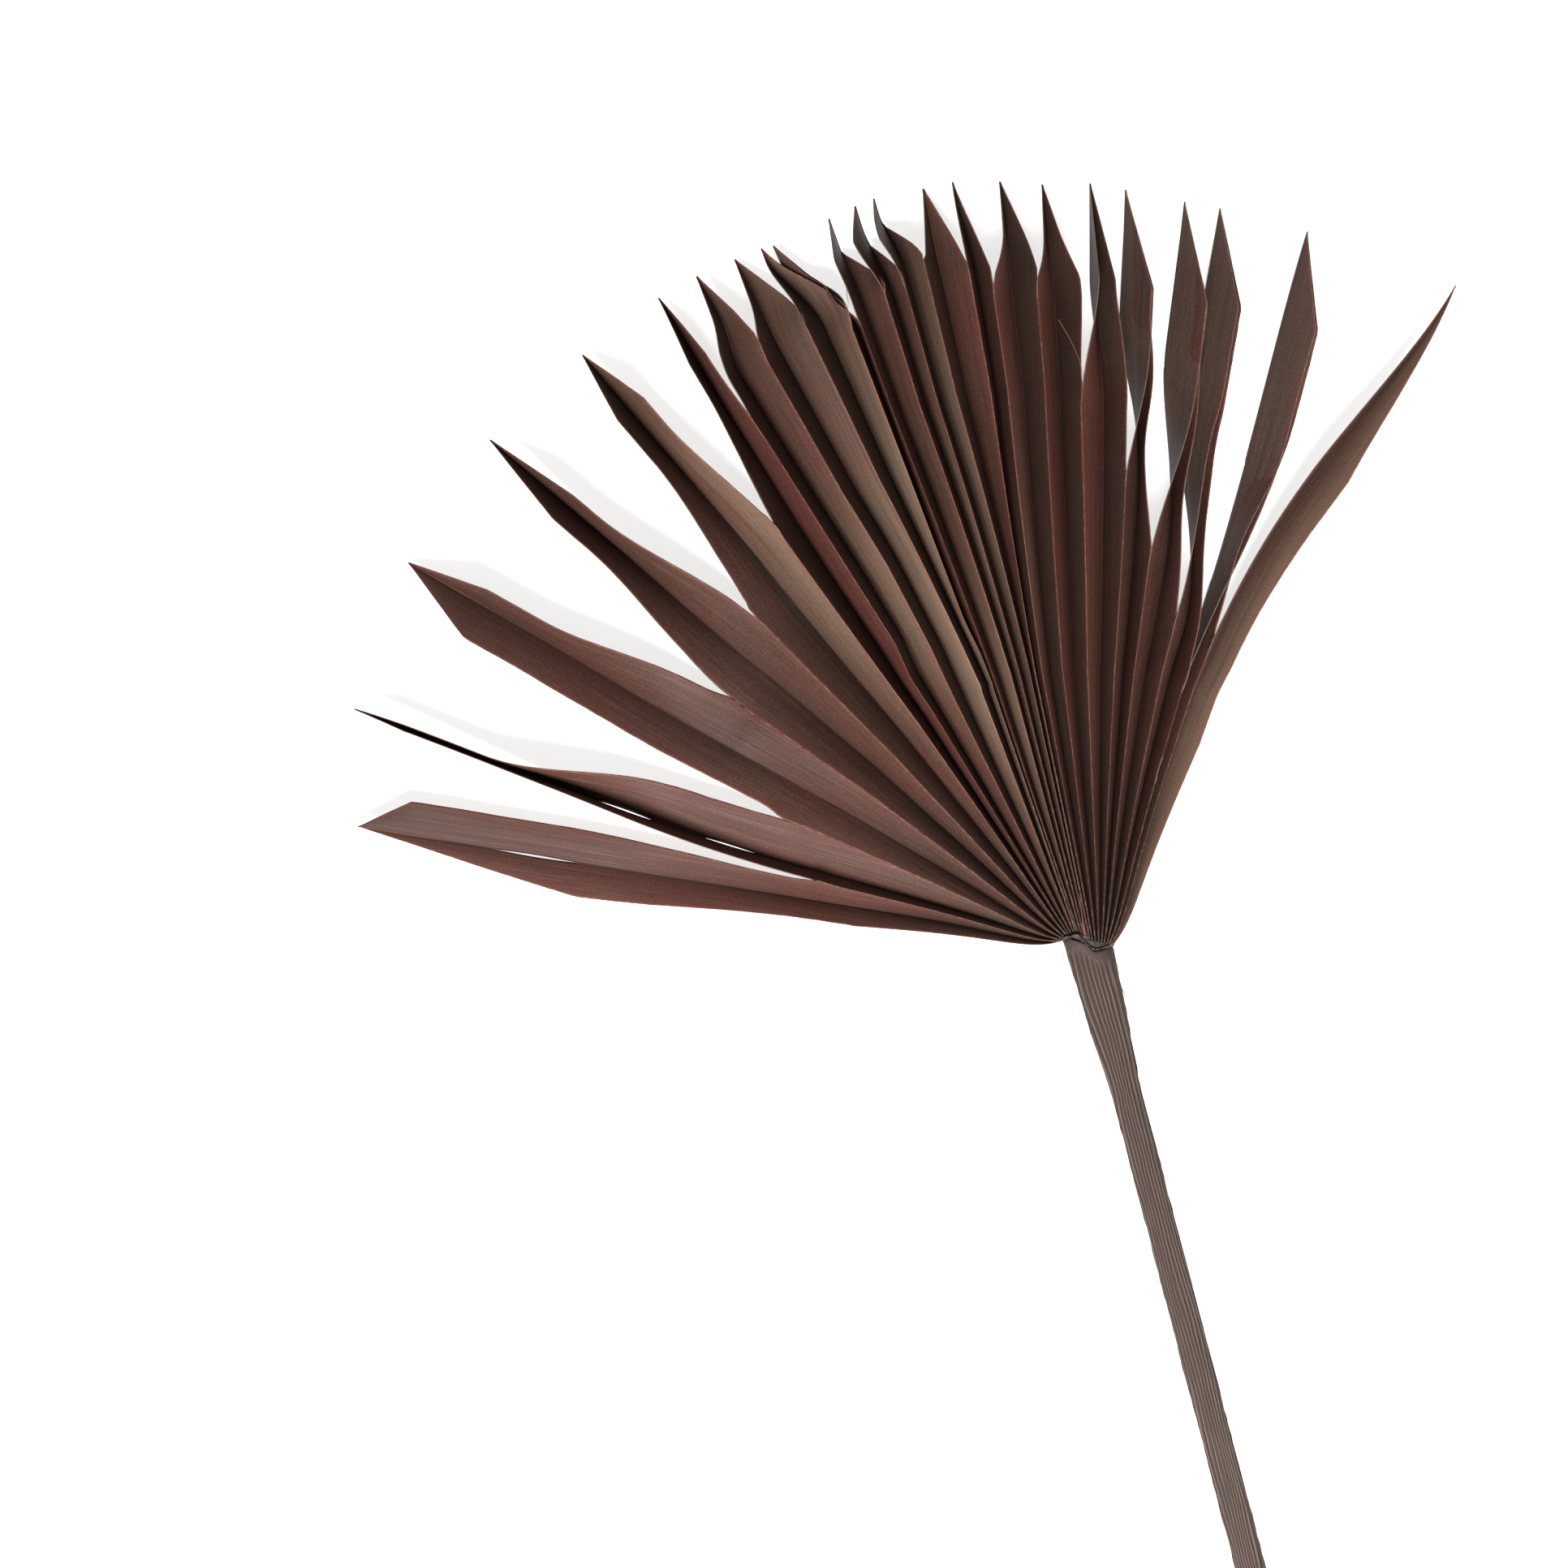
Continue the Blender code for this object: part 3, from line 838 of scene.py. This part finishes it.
    def ridge_point(self, ridge: int, radius: float) -> Vector:
        """Place a ridge in space, at the mean depth of the pleats on its two sides.

        Args:
            ridge: Which ridge.
            radius: Distance along it.

        Returns:
            Its point.
        """
        depths = [self.pleat_depth(index, radius) for index in (ridge - 1, ridge) if 0 <= index < COUNT]
        margin = {0: self.margin_heights[0], COUNT: self.margin_heights[1]}.get(ridge, 1.0)
        rise = self.pleat_floor(radius) + margin * sum(depths) / len(depths)
        return self.ridge_plan(ridge, radius) + UP * rise

    def joined_valley(self, index: int, radius: float) -> Vector:
        """Place the valley of a joined pleat, a lamina's width away from both of its ridges.

        Args:
            index: Which segment.
            radius: Distance along it.

        Returns:
            The valley's point.
        """
        left = self.ridge_point(index, radius)
        half_span = (self.ridge_point(index + 1, radius) - left) / 2
        across = half_span.normalized()
        down = (across * across.dot(UP) - UP).normalized()
        aside = -2 * SEGMENTS[index].lean * smooth(radius / self.lean_radius)
        return left + half_span * (1.0 + aside) + down * self.fold_depth(index, radius, half_span.length)

    def valley_point(self, index: int, radius: float) -> Vector:
        """Place the midrib of a segment, joined at first and then on its own way to the tip.

        Args:
            index: Which segment.
            radius: Distance along it.

        Returns:
            The midrib's point.
        """
        segment = SEGMENTS[index]
        freed = max(self.split_radius(index), self.split_radius(index + 1))
        if radius <= freed:
            return self.joined_valley(index, radius)
        start = self.joined_valley(index, freed)
        progress = (radius - freed) / (segment.reach - freed)
        share = smooth(progress / segment.bend)
        lift = self.tip_lift * (0.5 + 0.5 * math.sin(self.lift_step * index))
        height = mix(start.z, self.thickness / 2 + lift * progress**1.5, share)
        distance = mix(start.xy.length, segment.reach, progress)
        return polar(distance, mix(azimuth_of(start), segment.point, share)) + UP * height

    def edge_point(self, index: int, side: Side, radius: float) -> Vector:
        """Place the left or right edge of a segment.

        Beyond its split an edge stays a lamina's width away from the midrib, and the lamina turns from
        the slope that it had at the split to its own.

        Args:
            index: Which segment.
            side: Which half.
            radius: Distance along the segment.

        Returns:
            The edge's point.
        """
        ridge = index + side
        split = self.split_radius(ridge)
        if radius <= split:
            return self.ridge_point(ridge, radius)
        segment = SEGMENTS[index]
        held = split + (segment.hold if side else 0.0)
        share = smooth((radius - held) / (segment.reach - held) / segment.roll)
        root, root_valley = self.ridge_point(ridge, split), self.valley_point(index, split)
        root_offset = math.radians(azimuth_of(root_valley) - azimuth_of(root)) * split
        root_rise = root.z - root_valley.z
        end_slope = math.radians(segment.right if side else 180 - segment.left)
        slope = mix(math.atan2(root_rise, root_offset), end_slope, share)
        if side and segment.left > self.rolled_over:
            slope += math.radians(self.roll_closing) * math.sin(math.pi * share)
        width = mix(math.hypot(root_rise, root_offset), self.lamina_width(index, radius), share)
        width *= self.trim(index, side, radius)
        valley = self.valley_point(index, radius)
        distance = valley.xy.length
        turn = math.degrees(width * math.cos(slope) / distance)
        return polar(distance, azimuth_of(valley) - turn) + UP * (valley.z + width * math.sin(slope))


# --- the blade -------------------------------------------------------------------------------------


@dataclass
class Blade:
    """The pleated blade: one welded sheet of fine pleats, slit where the segments part.

    Attributes:
        layout: Where its ridges, valleys and edges lie.
        step: Distance between its shared stations.
        shared_steps: How many of them there are.
        free_steps: Stations from the last shared one to a segment's tip.
        rows_across: Shares of a half's width where its rows lie, from the midrib.
        crown: Most that a half swells, as a share of its width.
        opening: The same for each radian between a segment's halves.
        sheet: Thickness.
        tear: Width of the lip that a split leaves on one side, its place and its length.
        settle: Distance over which a free edge's waver starts.
        waver: Share of the width, and wavelength, of the slow and of the quick waver.
        golden: Step between the numbers that set the segments' patterns apart.
    """

    layout: FanLayout
    step: float = 0.0025
    shared_steps: int = 111
    free_steps: int = 12
    rows_across: tuple[float, ...] = (0.0, 0.05, 0.14, 0.28, 0.46, 0.66, 0.84, 0.955, 1.0)
    crown: float = 0.045
    opening: float = 0.075
    sheet: float = 0.00034
    tear: tuple[float, float, float] = (0.0016, 0.007, 0.006)
    settle: float = 0.012
    waver: tuple[tuple[float, float], tuple[float, float]] = ((0.022, 0.028), (0.008, 0.006))
    golden: float = 0.381966

    def radius_at(self, index: int, station: int) -> float:
        """Distance of a cross-section: shared steps first, then even ones up to the tip."""
        beyond = max(station - self.shared_steps + 1, 0) / self.free_steps
        return mix(min(station, self.shared_steps - 1) * self.step, SEGMENTS[index].reach, beyond)

    def wavy_edge(self, index: int, side: Side, radius: float) -> Vector:
        """Place an edge with its natural waver, and with the torn lip that a split leaves on one side.

        Args:
            index: Which segment.
            side: Which half.
            radius: Distance along the segment.

        Returns:
            The edge's point.
        """
        edge = self.layout.edge_point(index, side, radius)
        past = radius - self.layout.split_radius(index + side)
        if past <= 0:
            return edge
        valley = self.layout.valley_point(index, radius)
        out = edge - valley
        row = index * 2 + side
        (slow, slow_length), (quick, quick_length) = self.waver
        waver = slow * wander(radius / slow_length, row) + quick * wander(radius / quick_length, row + 60)
        grow = waver * smooth(past / self.settle)
        if 0 < index + side < COUNT and (index + side) % 2 == side:
            width, middle, spread = self.tear
            ragged = 0.75 + 0.6 * wander(radius / width, row + 20)
            grow += width / out.length * bell(past - middle, spread) * ragged
        return valley + out * (1.0 + grow)

    def half_section(self, index: int, side: Side, radius: float) -> tuple[list[Vector], float]:
        """Points across half a segment, crowned towards the trough.

        Args:
            index: Which segment.
            side: Which half.
            radius: Distance along it.

        Returns:
            The points from the midrib to the edge, and the half's width.
        """
        valley = self.layout.valley_point(index, radius)
        arm = self.wavy_edge(index, side, radius) - valley
        other = self.wavy_edge(index, Side(1 - side), radius) - valley
        along = arm.normalized()
        inward = other - along * other.dot(along)
        inward = inward.normalized() if inward.length > COINCIDENT else UP
        crown = min(self.crown, self.opening * arm.angle(other, 0.0)) * arm.length
        start = sum(slit.half_gap(index, radius) for slit in MIDRIB_SLITS) / arm.length
        end = 1.0 - sum(slit.half_gap(index + side, radius) for slit in RIDGE_SLITS) / arm.length
        points = []
        for share in self.rows_across:
            swell = inward * (crown * 4 * share * (1 - share))
            points.append(valley + arm * mix(start, end, share) + swell)
        return points, arm.length

    def build_half(self, bm: Mesh, index: int, side: Side) -> list[list[Vert]]:
        """Add half a segment: a grid bent into its lamina, with its maps.

        Args:
            bm: The blade's mesh.
            index: Which segment.
            side: Which half.

        Returns:
            Its vertices, station by station and from the midrib to the edge.
        """
        across = len(self.rows_across)
        stations = self.shared_steps + self.free_steps
        made = bmesh.ops.create_grid(bm, x_segments=across - 1, y_segments=stations - 1, size=0.5)["verts"]
        rows = [made[row * across : (row + 1) * across] for row in range(stations)]
        segment, tone = SEGMENTS[index], TONES[index][side]
        sign = 1.0 if side else -1.0
        facts = {}
        for station, row in enumerate(rows):
            radius = self.radius_at(index, station)
            points, width = self.half_section(index, side, radius)
            for vert, point, share in zip(row, points, self.rows_across):
                vert.co = point
                to_ends = ((1.0 - share) * width, segment.reach - radius)
                # The half's red, its painted highlight and its lightness, which is painted light and shade.
                dye = tone.at((index * self.golden) % 1.0, radius, share)
                facts[vert] = (sign * share * width, radius), to_ends, dye
        layers = bm.loops.layers
        for face in {face for row in rows for vert in row for face in vert.link_faces}:
            for loop in face.loops:
                loop[layers.uv["veins"]].uv, loop[layers.uv["edges"]].uv, dye = facts[loop.vert]
                loop[layers.float_color["dye"]] = dye
        return rows

    def weld(self, bm: Mesh, halves: list[list[list[Vert]]]) -> None:
        """Join the halves along midribs and ridges, except in slits and beyond the splits.

        Args:
            bm: The blade's mesh.
            halves: The vertices of each half, as build_half returns them.
        """
        targets = {}
        for index in range(COUNT):
            left, right = halves[2 * index], halves[2 * index + 1]
            for station in range(len(left)):
                radius = self.radius_at(index, station)
                if not any(slit.half_gap(index, radius) for slit in MIDRIB_SLITS):
                    targets[right[station][0]] = left[station][0]
                torn = any(slit.half_gap(index, radius) for slit in RIDGE_SLITS)
                if index and radius <= self.layout.split_radius(index) + COINCIDENT and not torn:
                    targets[left[station][-1]] = halves[2 * index - 1][station][-1]
        bmesh.ops.weld_verts(bm, targetmap=targets)

    def build(self, place: Vector, materials: list[Material]) -> Piece:
        """Make the blade.

        Args:
            place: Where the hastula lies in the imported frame.
            materials: Upper skin, underside and edge.

        Returns:
            The finished piece.
        """
        bm = bmesh.new()
        bm.loops.layers.uv.new("veins")
        bm.loops.layers.uv.new("edges")
        bm.loops.layers.float_color.new("dye")
        self.weld(bm, [self.build_half(bm, index, side) for index in range(COUNT) for side in Side])
        bmesh.ops.recalc_face_normals(bm, faces=bm.faces)
        if sum(face.normal.z for face in bm.faces) < 0:
            bmesh.ops.reverse_faces(bm, faces=bm.faces)
        blade = finish_piece(bm, "leaf_blade", materials, place)
        wall = blade.modifiers.new("sheet", "SOLIDIFY")
        wall.thickness = self.sheet
        wall.offset = -1.0
        wall.material_offset = Skin.UNDER
        wall.material_offset_rim = Skin.EDGE
        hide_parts("blade")
        return blade


# --- the leafstalk ---------------------------------------------------------------------------------


@dataclass
class Leafstalk:
    """The ribbed stalk, flared at the top, where its end is pinched shut under the crest."""

    layout: FanLayout
    length: float = 0.420
    width: float = 0.0120
    depth: float = 0.0085
    flare_width: float = 0.0186
    flare_mid_width: float = 0.0162
    flare_mid: float = 0.028
    flare_length: float = 0.058
    sides: int = 144
    steps: int = 260
    ribs: int = 9
    rib_depth: float = 0.00045
    smooth_top: float = 0.004
    end_taper: float = 0.0006
    crowding: float = 1.15
    mean_radius: float = 0.005
    margin: float = 0.3
    margin_tear: float = 0.00035
    collar_length: float = 0.0075

    def half_width(self, distance: float) -> float:
        """Half the stalk's width at a distance below the hastula."""
        widths = (self.flare_width, self.flare_mid_width, self.width)
        return float(interp(distance, (0.0, self.flare_mid, self.flare_length), widths)) / 2

    def rib_height(self, share: float, distance: float) -> float:
        """Find how high the rind stands between groove and rib.

        Args:
            share: Share of the stalk's width, from its left margin.
            distance: Distance below the hastula.

        Returns:
            The height, 0 in a groove and 1 on a rib.
        """
        drift = 1.1 * perlin.noise(Vector((distance / 0.045, share * 1.8, 5.1)))
        drift += 0.2 * perlin.noise(Vector((distance / 0.012, share * 3.0, 9.4)))
        rib = (0.5 + 0.5 * math.cos(2 * math.pi * (share * self.ribs + drift))) ** 2.5
        return mix(0.6, rib, smooth((distance - self.smooth_top) / self.smooth_top))

    def skin_point(self, angle: float, distance: float) -> tuple[Vector, tuple[float, float, float]]:
        """A point on the rind and its colour facts.

        Args:
            angle: Turn about the stalk, from its right margin over the top.
            distance: Distance below the hastula.

        Returns:
            The point, and how much rib colour, painted shade down the flank and collar colour it takes.
        """
        half = self.half_width(distance)
        rise = math.sin(angle)
        share = 0.5 + 0.5 * math.cos(angle)
        rib = self.rib_height(share, distance)
        depth = self.rib_depth * (1.0 if rise > 0 else 0.5)
        opened = min(distance / self.end_taper, 1.0)
        inset = depth * (1.0 - rib) * opened
        torn = 0.0
        if abs(rise) < self.margin:
            torn = self.margin_tear * wander(distance / (4 * MM), 30 + math.copysign(4, math.cos(angle)))
        x = (half - inset + torn) * math.cos(angle)
        height = self.depth * (0.5 + (0.36 if rise > 0 else 0.5) * rise) - math.copysign(inset, rise)
        height = mix(self.depth / 2, height, opened)
        follows = 1.0 - smooth(distance / self.flare_mid)
        y = -distance + follows * self.layout.crest_y(x)
        # Painted shade: darkest down the right flank, fainter down the left one.
        side = smooth((share - 0.78) / 0.2) + 0.35 * smooth((0.12 - share) / 0.12)
        collar = bell(distance, self.collar_length)
        return Vector((x, y, max(height, 0.0))), (rib, min(side, 1.0), collar)

    def build(self, place: Vector, material: Material) -> Piece:
        """Make the stalk from a tube cut into fine rings.

        Args:
            place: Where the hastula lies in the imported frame.
            material: The rind.

        Returns:
            The finished piece.
        """
        bm = bmesh.new()
        rind = bm.loops.layers.uv.new("rind")
        rib_shade_and_collar = bm.loops.layers.float_color.new("rib_shade_and_collar")
        facts = {}
        for vert, angle, run in tube_sheet(bm, self.sides, self.steps):
            distance = self.length * run**self.crowding
            vert.co, colours = self.skin_point(angle, distance)
            facts[vert] = (angle * self.mean_radius, distance), (*colours, 1.0)
        for face in bm.faces:
            for loop in face.loops:
                loop[rind].uv, loop[rib_shade_and_collar] = facts[loop.vert]
        close_tube(bm)
        stalk = finish_piece(bm, "leafstalk", [material], place)
        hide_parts("petiole")
        return stalk


@dataclass
class Hastula:
    """The shrivelled crest across the top of the stalk, with a small knob at its right end."""

    layout: FanLayout
    radius: float = 0.00066
    end_height: float = 0.0043
    arch_height: float = 0.0030
    stops_short: float = 0.001
    set_back: float = 0.0002
    flatness: float = 0.8
    lumps: float = 0.25
    steps: int = 90
    sides: int = 14
    knob: tuple[float, float, float] = (0.0088, -0.0008, 0.0052)
    knob_radius: float = 0.0012
    lumps_per_metre: float = 700.0

    def build(self, place: Vector, material: Material) -> Piece:
        """Make the crest: a lumpy roll along the stalk's end and a lumpy ball.

        Args:
            place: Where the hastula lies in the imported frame.
            material: Its shrivelled tissue.

        Returns:
            The finished piece.
        """
        bm = bmesh.new()
        for vert, angle, run in tube_sheet(bm, self.sides, self.steps):
            x = mix(self.layout.crest_left + self.stops_short, self.layout.crest_right, run)
            arch = math.sqrt(max(1 - (2 * run - 1) ** 2, 0.0))
            girth = self.radius * (0.5 + 0.5 * arch**0.5) * (1 + 0.5 * wander(run * 16, 3))
            girth *= 1 + self.lumps * perlin.noise(Vector((run * 40, angle, 1.3)))
            height = self.end_height + self.arch_height * arch**0.6 + 0.6 * MM * wander(run * 9, 11)
            y = self.layout.crest_y(x) + self.set_back + 0.3 * MM * wander(run * 11, 7)
            about = Vector((0.0, math.cos(angle) * self.flatness, math.sin(angle)))
            vert.co = Vector((x, y, height)) + about * girth
        close_tube(bm)
        for vert in bmesh.ops.create_icosphere(bm, subdivisions=4, radius=self.knob_radius)["verts"]:
            vert.co *= 1 + self.lumps * perlin.noise(vert.co * self.lumps_per_metre)
            vert.co += Vector(self.knob)
        return finish_piece(bm, "hastula_crest", [material], place)


# --- loose fibres ----------------------------------------------------------------------------------


@dataclass
class Fibre:
    """One loose fibre that stands off the leaf, in millimetres about the hastula, drawn out to a fine end."""

    name: str
    thickness: float
    points: tuple[tuple[float, float, float], ...]
    sides: int = 6
    steps: int = 24
    fine_end: float = 0.3

    def at(self, run: float) -> Vector:
        """Place a point on the smooth curve through the fibre's points.

        Args:
            run: Share of the way along it.

        Returns:
            The point, in metres.
        """
        line = [Vector(point) * MM for point in self.points]
        place = min(max(run, 0.0), 1.0) * (len(line) - 1)
        start = min(int(place), len(line) - 2)
        t = place - start
        before, after = line[max(start - 1, 0)], line[min(start + 2, len(line) - 1)]
        first, second = line[start], line[start + 1]
        return 0.5 * (
            2 * first
            + (second - before) * t
            + (2 * before - 5 * first + 4 * second - after) * t**2
            + (3 * first - before - 3 * second + after) * t**3
        )

    def build(self, place: Vector, material: Material, slot: SlotName) -> Piece:
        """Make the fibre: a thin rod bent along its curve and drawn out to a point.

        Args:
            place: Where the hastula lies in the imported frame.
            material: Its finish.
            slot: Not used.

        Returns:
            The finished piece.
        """
        bm = bmesh.new()
        for vert, angle, run in tube_sheet(bm, self.sides, self.steps):
            ahead = self.at(run + 0.02) - self.at(run - 0.02)
            across = ahead.cross(UP).normalized()
            upward = across.cross(ahead).normalized()
            girth = self.thickness / 2 * MM * mix(1.0, self.fine_end, run)
            vert.co = self.at(run) + (across * math.cos(angle) + upward * math.sin(angle)) * girth
        close_tube(bm)
        return finish_piece(bm, self.name, [material], place)


STALK_FIBRES = (
    Fibre(
        "stray_fibre_left_long",
        0.30,
        ((-10.0, 0.6, 5.2), (-12.6, -3.4, 6.6), (-16.3, -6.2, 6.2), (-19.7, -9.2, 4.6)),
    ),
    Fibre("stray_fibre_left_top", 0.26, ((-9.4, -1.2, 4.6), (-9.6, -5.6, 5.4), (-9.2, -10.3, 4.4))),
    Fibre("stray_fibre_left_mid", 0.24, ((-8.9, -11.4, 4.6), (-9.1, -15.6, 5.2), (-8.8, -19.9, 4.4))),
    Fibre("stray_fibre_left_low", 0.22, ((-8.5, -22.6, 4.6), (-8.8, -25.2, 5.0), (-8.6, -27.7, 4.4))),
    Fibre("stray_fibre_right_top", 0.26, ((8.6, -2.2, 5.4), (9.8, -3.3, 6.2), (10.8, -3.8, 6.0))),
    Fibre("stray_fibre_right_mid", 0.26, ((7.8, -6.6, 4.8), (8.9, -9.2, 5.8), (9.5, -12.3, 5.0))),
    Fibre("stray_fibre_right_low", 0.26, ((8.5, -18.9, 4.6), (9.1, -23.4, 5.6), (8.7, -28.1, 4.4))),
)
BLADE_FIBRES = (
    Fibre("crest_fibre", 1.1, ((-0.25, 5.3, 7.4), (0.1, 10.0, 8.8), (0.9, 16.0, 9.0), (1.75, 21.8, 8.8))),
    Fibre(
        "tip_fibre",
        0.3,
        ((-25.9, 275.4, 16.0), (-27.2, 270.0, 17.0), (-27.6, 266.4, 16.4), (-29.1, 263.2, 15.0)),
    ),
    Fibre(
        "edge_fibre",
        0.3,
        ((49.7, 239.5, 16.0), (52.4, 229.0, 18.0), (53.6, 219.0, 17.5), (52.7, 210.9, 15.0)),
    ),
)


# --- the studio ------------------------------------------------------------------------------------


@dataclass
class Studio:
    """A white table, one large soft light beyond the stalk, a weak fill and the camera overhead.

    The camera is turned against the leaf, and the light's azimuth counts from the camera's right.
    """

    frame_width: float = 0.6105
    camera_height: float = 3.0
    turn: float = 14.6
    look_right: float = -0.1188
    look_up: float = 0.0638
    table_drop: float = 0.0004
    leaf_middle: float = 0.010
    key_azimuth: float = 273.0
    key_elevation: float = 47.0
    key_distance: float = 2.2
    key_size: float = 1.1
    key_power: float = 92.0
    key_aim: float = 0.15
    ambient: float = 0.27

    def image_axes(self) -> tuple[Vector, Vector]:
        """The camera's right and its up, as directions on the table."""
        turn = math.radians(self.turn)
        return Vector((math.cos(turn), -math.sin(turn), 0.0)), Vector((math.sin(turn), math.cos(turn), 0.0))

    def build_table(self) -> Piece:
        """Make the table top, a little below the leaf.

        Returns:
            The table top, staged as the floor.
        """
        bm = bmesh.new()
        bmesh.ops.create_grid(bm, x_segments=1, y_segments=1, size=4.0)
        bmesh.ops.translate(bm, verts=bm.verts, vec=(0.0, 0.0, -self.table_drop))
        mesh = bpy.data.meshes.new("table")
        bm.to_mesh(mesh)
        bm.free()
        mesh.materials.append(PaleTable().build())
        table = bpy.data.objects.new("table", mesh)
        bpy.context.scene.collection.objects.link(table)
        return table

    def build_lights(self, target: Vector) -> None:
        """Hang the key light and set the room's even light.

        Args:
            target: The point that the key light looks at.
        """
        right, up = self.image_axes()
        azimuth, elevation = math.radians(self.key_azimuth), math.radians(self.key_elevation)
        flat = right * math.cos(azimuth) + up * math.sin(azimuth)
        toward = flat * math.cos(elevation) + UP * math.sin(elevation)
        light = bpy.data.lights.new("key", "AREA")
        light.shape = "DISK"
        light.size = self.key_size
        light.energy = self.key_power
        light.color = (1.0, 0.985, 0.965)
        key = bpy.data.objects.new("key", light)
        key.location = target + toward * self.key_distance
        key.rotation_euler = (-toward).to_track_quat("-Z", "Y").to_euler()
        bpy.context.scene.collection.objects.link(key)
        world = bpy.data.worlds.new("room")
        world.use_nodes = True
        air = world.node_tree.nodes["Background"].inputs
        air["Color"].default_value = linear("f4f4f6")
        air["Strength"].default_value = self.ambient
        bpy.context.scene.world = world

    def build_camera(self, hastula: Vector) -> None:
        """Set the camera straight above the leaf, turned so that the stalk leans to the right.

        Args:
            hastula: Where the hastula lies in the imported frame.
        """
        right, up = self.image_axes()
        centre = hastula + right * self.look_right + up * self.look_up
        data = bpy.data.cameras.new("camera")
        data.sensor_width = 36.0
        data.lens = 36.0 * self.camera_height / self.frame_width
        data.clip_end = 20.0
        camera = bpy.data.objects.new("camera", data)
        stand = Matrix.Translation((centre.x, centre.y, self.camera_height + self.leaf_middle))
        camera.matrix_world = stand @ Matrix.Rotation(-math.radians(self.turn), 4, "Z")
        bpy.context.scene.collection.objects.link(camera)
        bpy.context.scene.camera = camera
        bpy.context.scene.view_settings.view_transform = "Standard"

    def build(self, hastula: Vector) -> None:
        """Make the whole studio.

        Args:
            hastula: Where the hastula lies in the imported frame.
        """
        self.build_table()
        self.build_lights(Vector((hastula.x, hastula.y + self.key_aim, 0.0)))
        self.build_camera(hastula)


def main() -> None:
    """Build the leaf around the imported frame, then the studio."""
    logging.basicConfig(level=logging.INFO, format="%(name)s: %(message)s")
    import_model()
    layout = FanLayout()
    low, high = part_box("petiole")
    hastula = Vector(((low.x + high.x) / 2, high.y - layout.crest_high_y, low.z))
    LOG.info("hastula at %s", tuple(round(v, 4) for v in hastula))

    upper = DyedLamina()
    colours = {"body": "4b3730", "olive": "46382f", "red": "4f342d", "tip": "46362f"}
    under = DyedLamina(name="dyed_palm_underside", roughness=0.6, under=True, **colours)
    Blade(layout).build(hastula, [upper.build(), under.build(), CUT_EDGE.build()])
    Leafstalk(layout).build(hastula, DyedLeafstalk().build())
    Hastula(layout).build(hastula, CREST_RIM.build())
    dark, tan, pale = (tissue.build() for tissue in (DARK_FIBRE, TAN_FIBRE, PALE_FIBRE))
    for fibre in STALK_FIBRES:
        fibre.build(hastula, dark, SlotName.STALK)
    for fibre, finish in zip(BLADE_FIBRES, (tan, tan, pale)):
        fibre.build(hastula, finish, SlotName.BLADE)
    Studio().build(hastula)


if __name__ == "__main__":
    main()
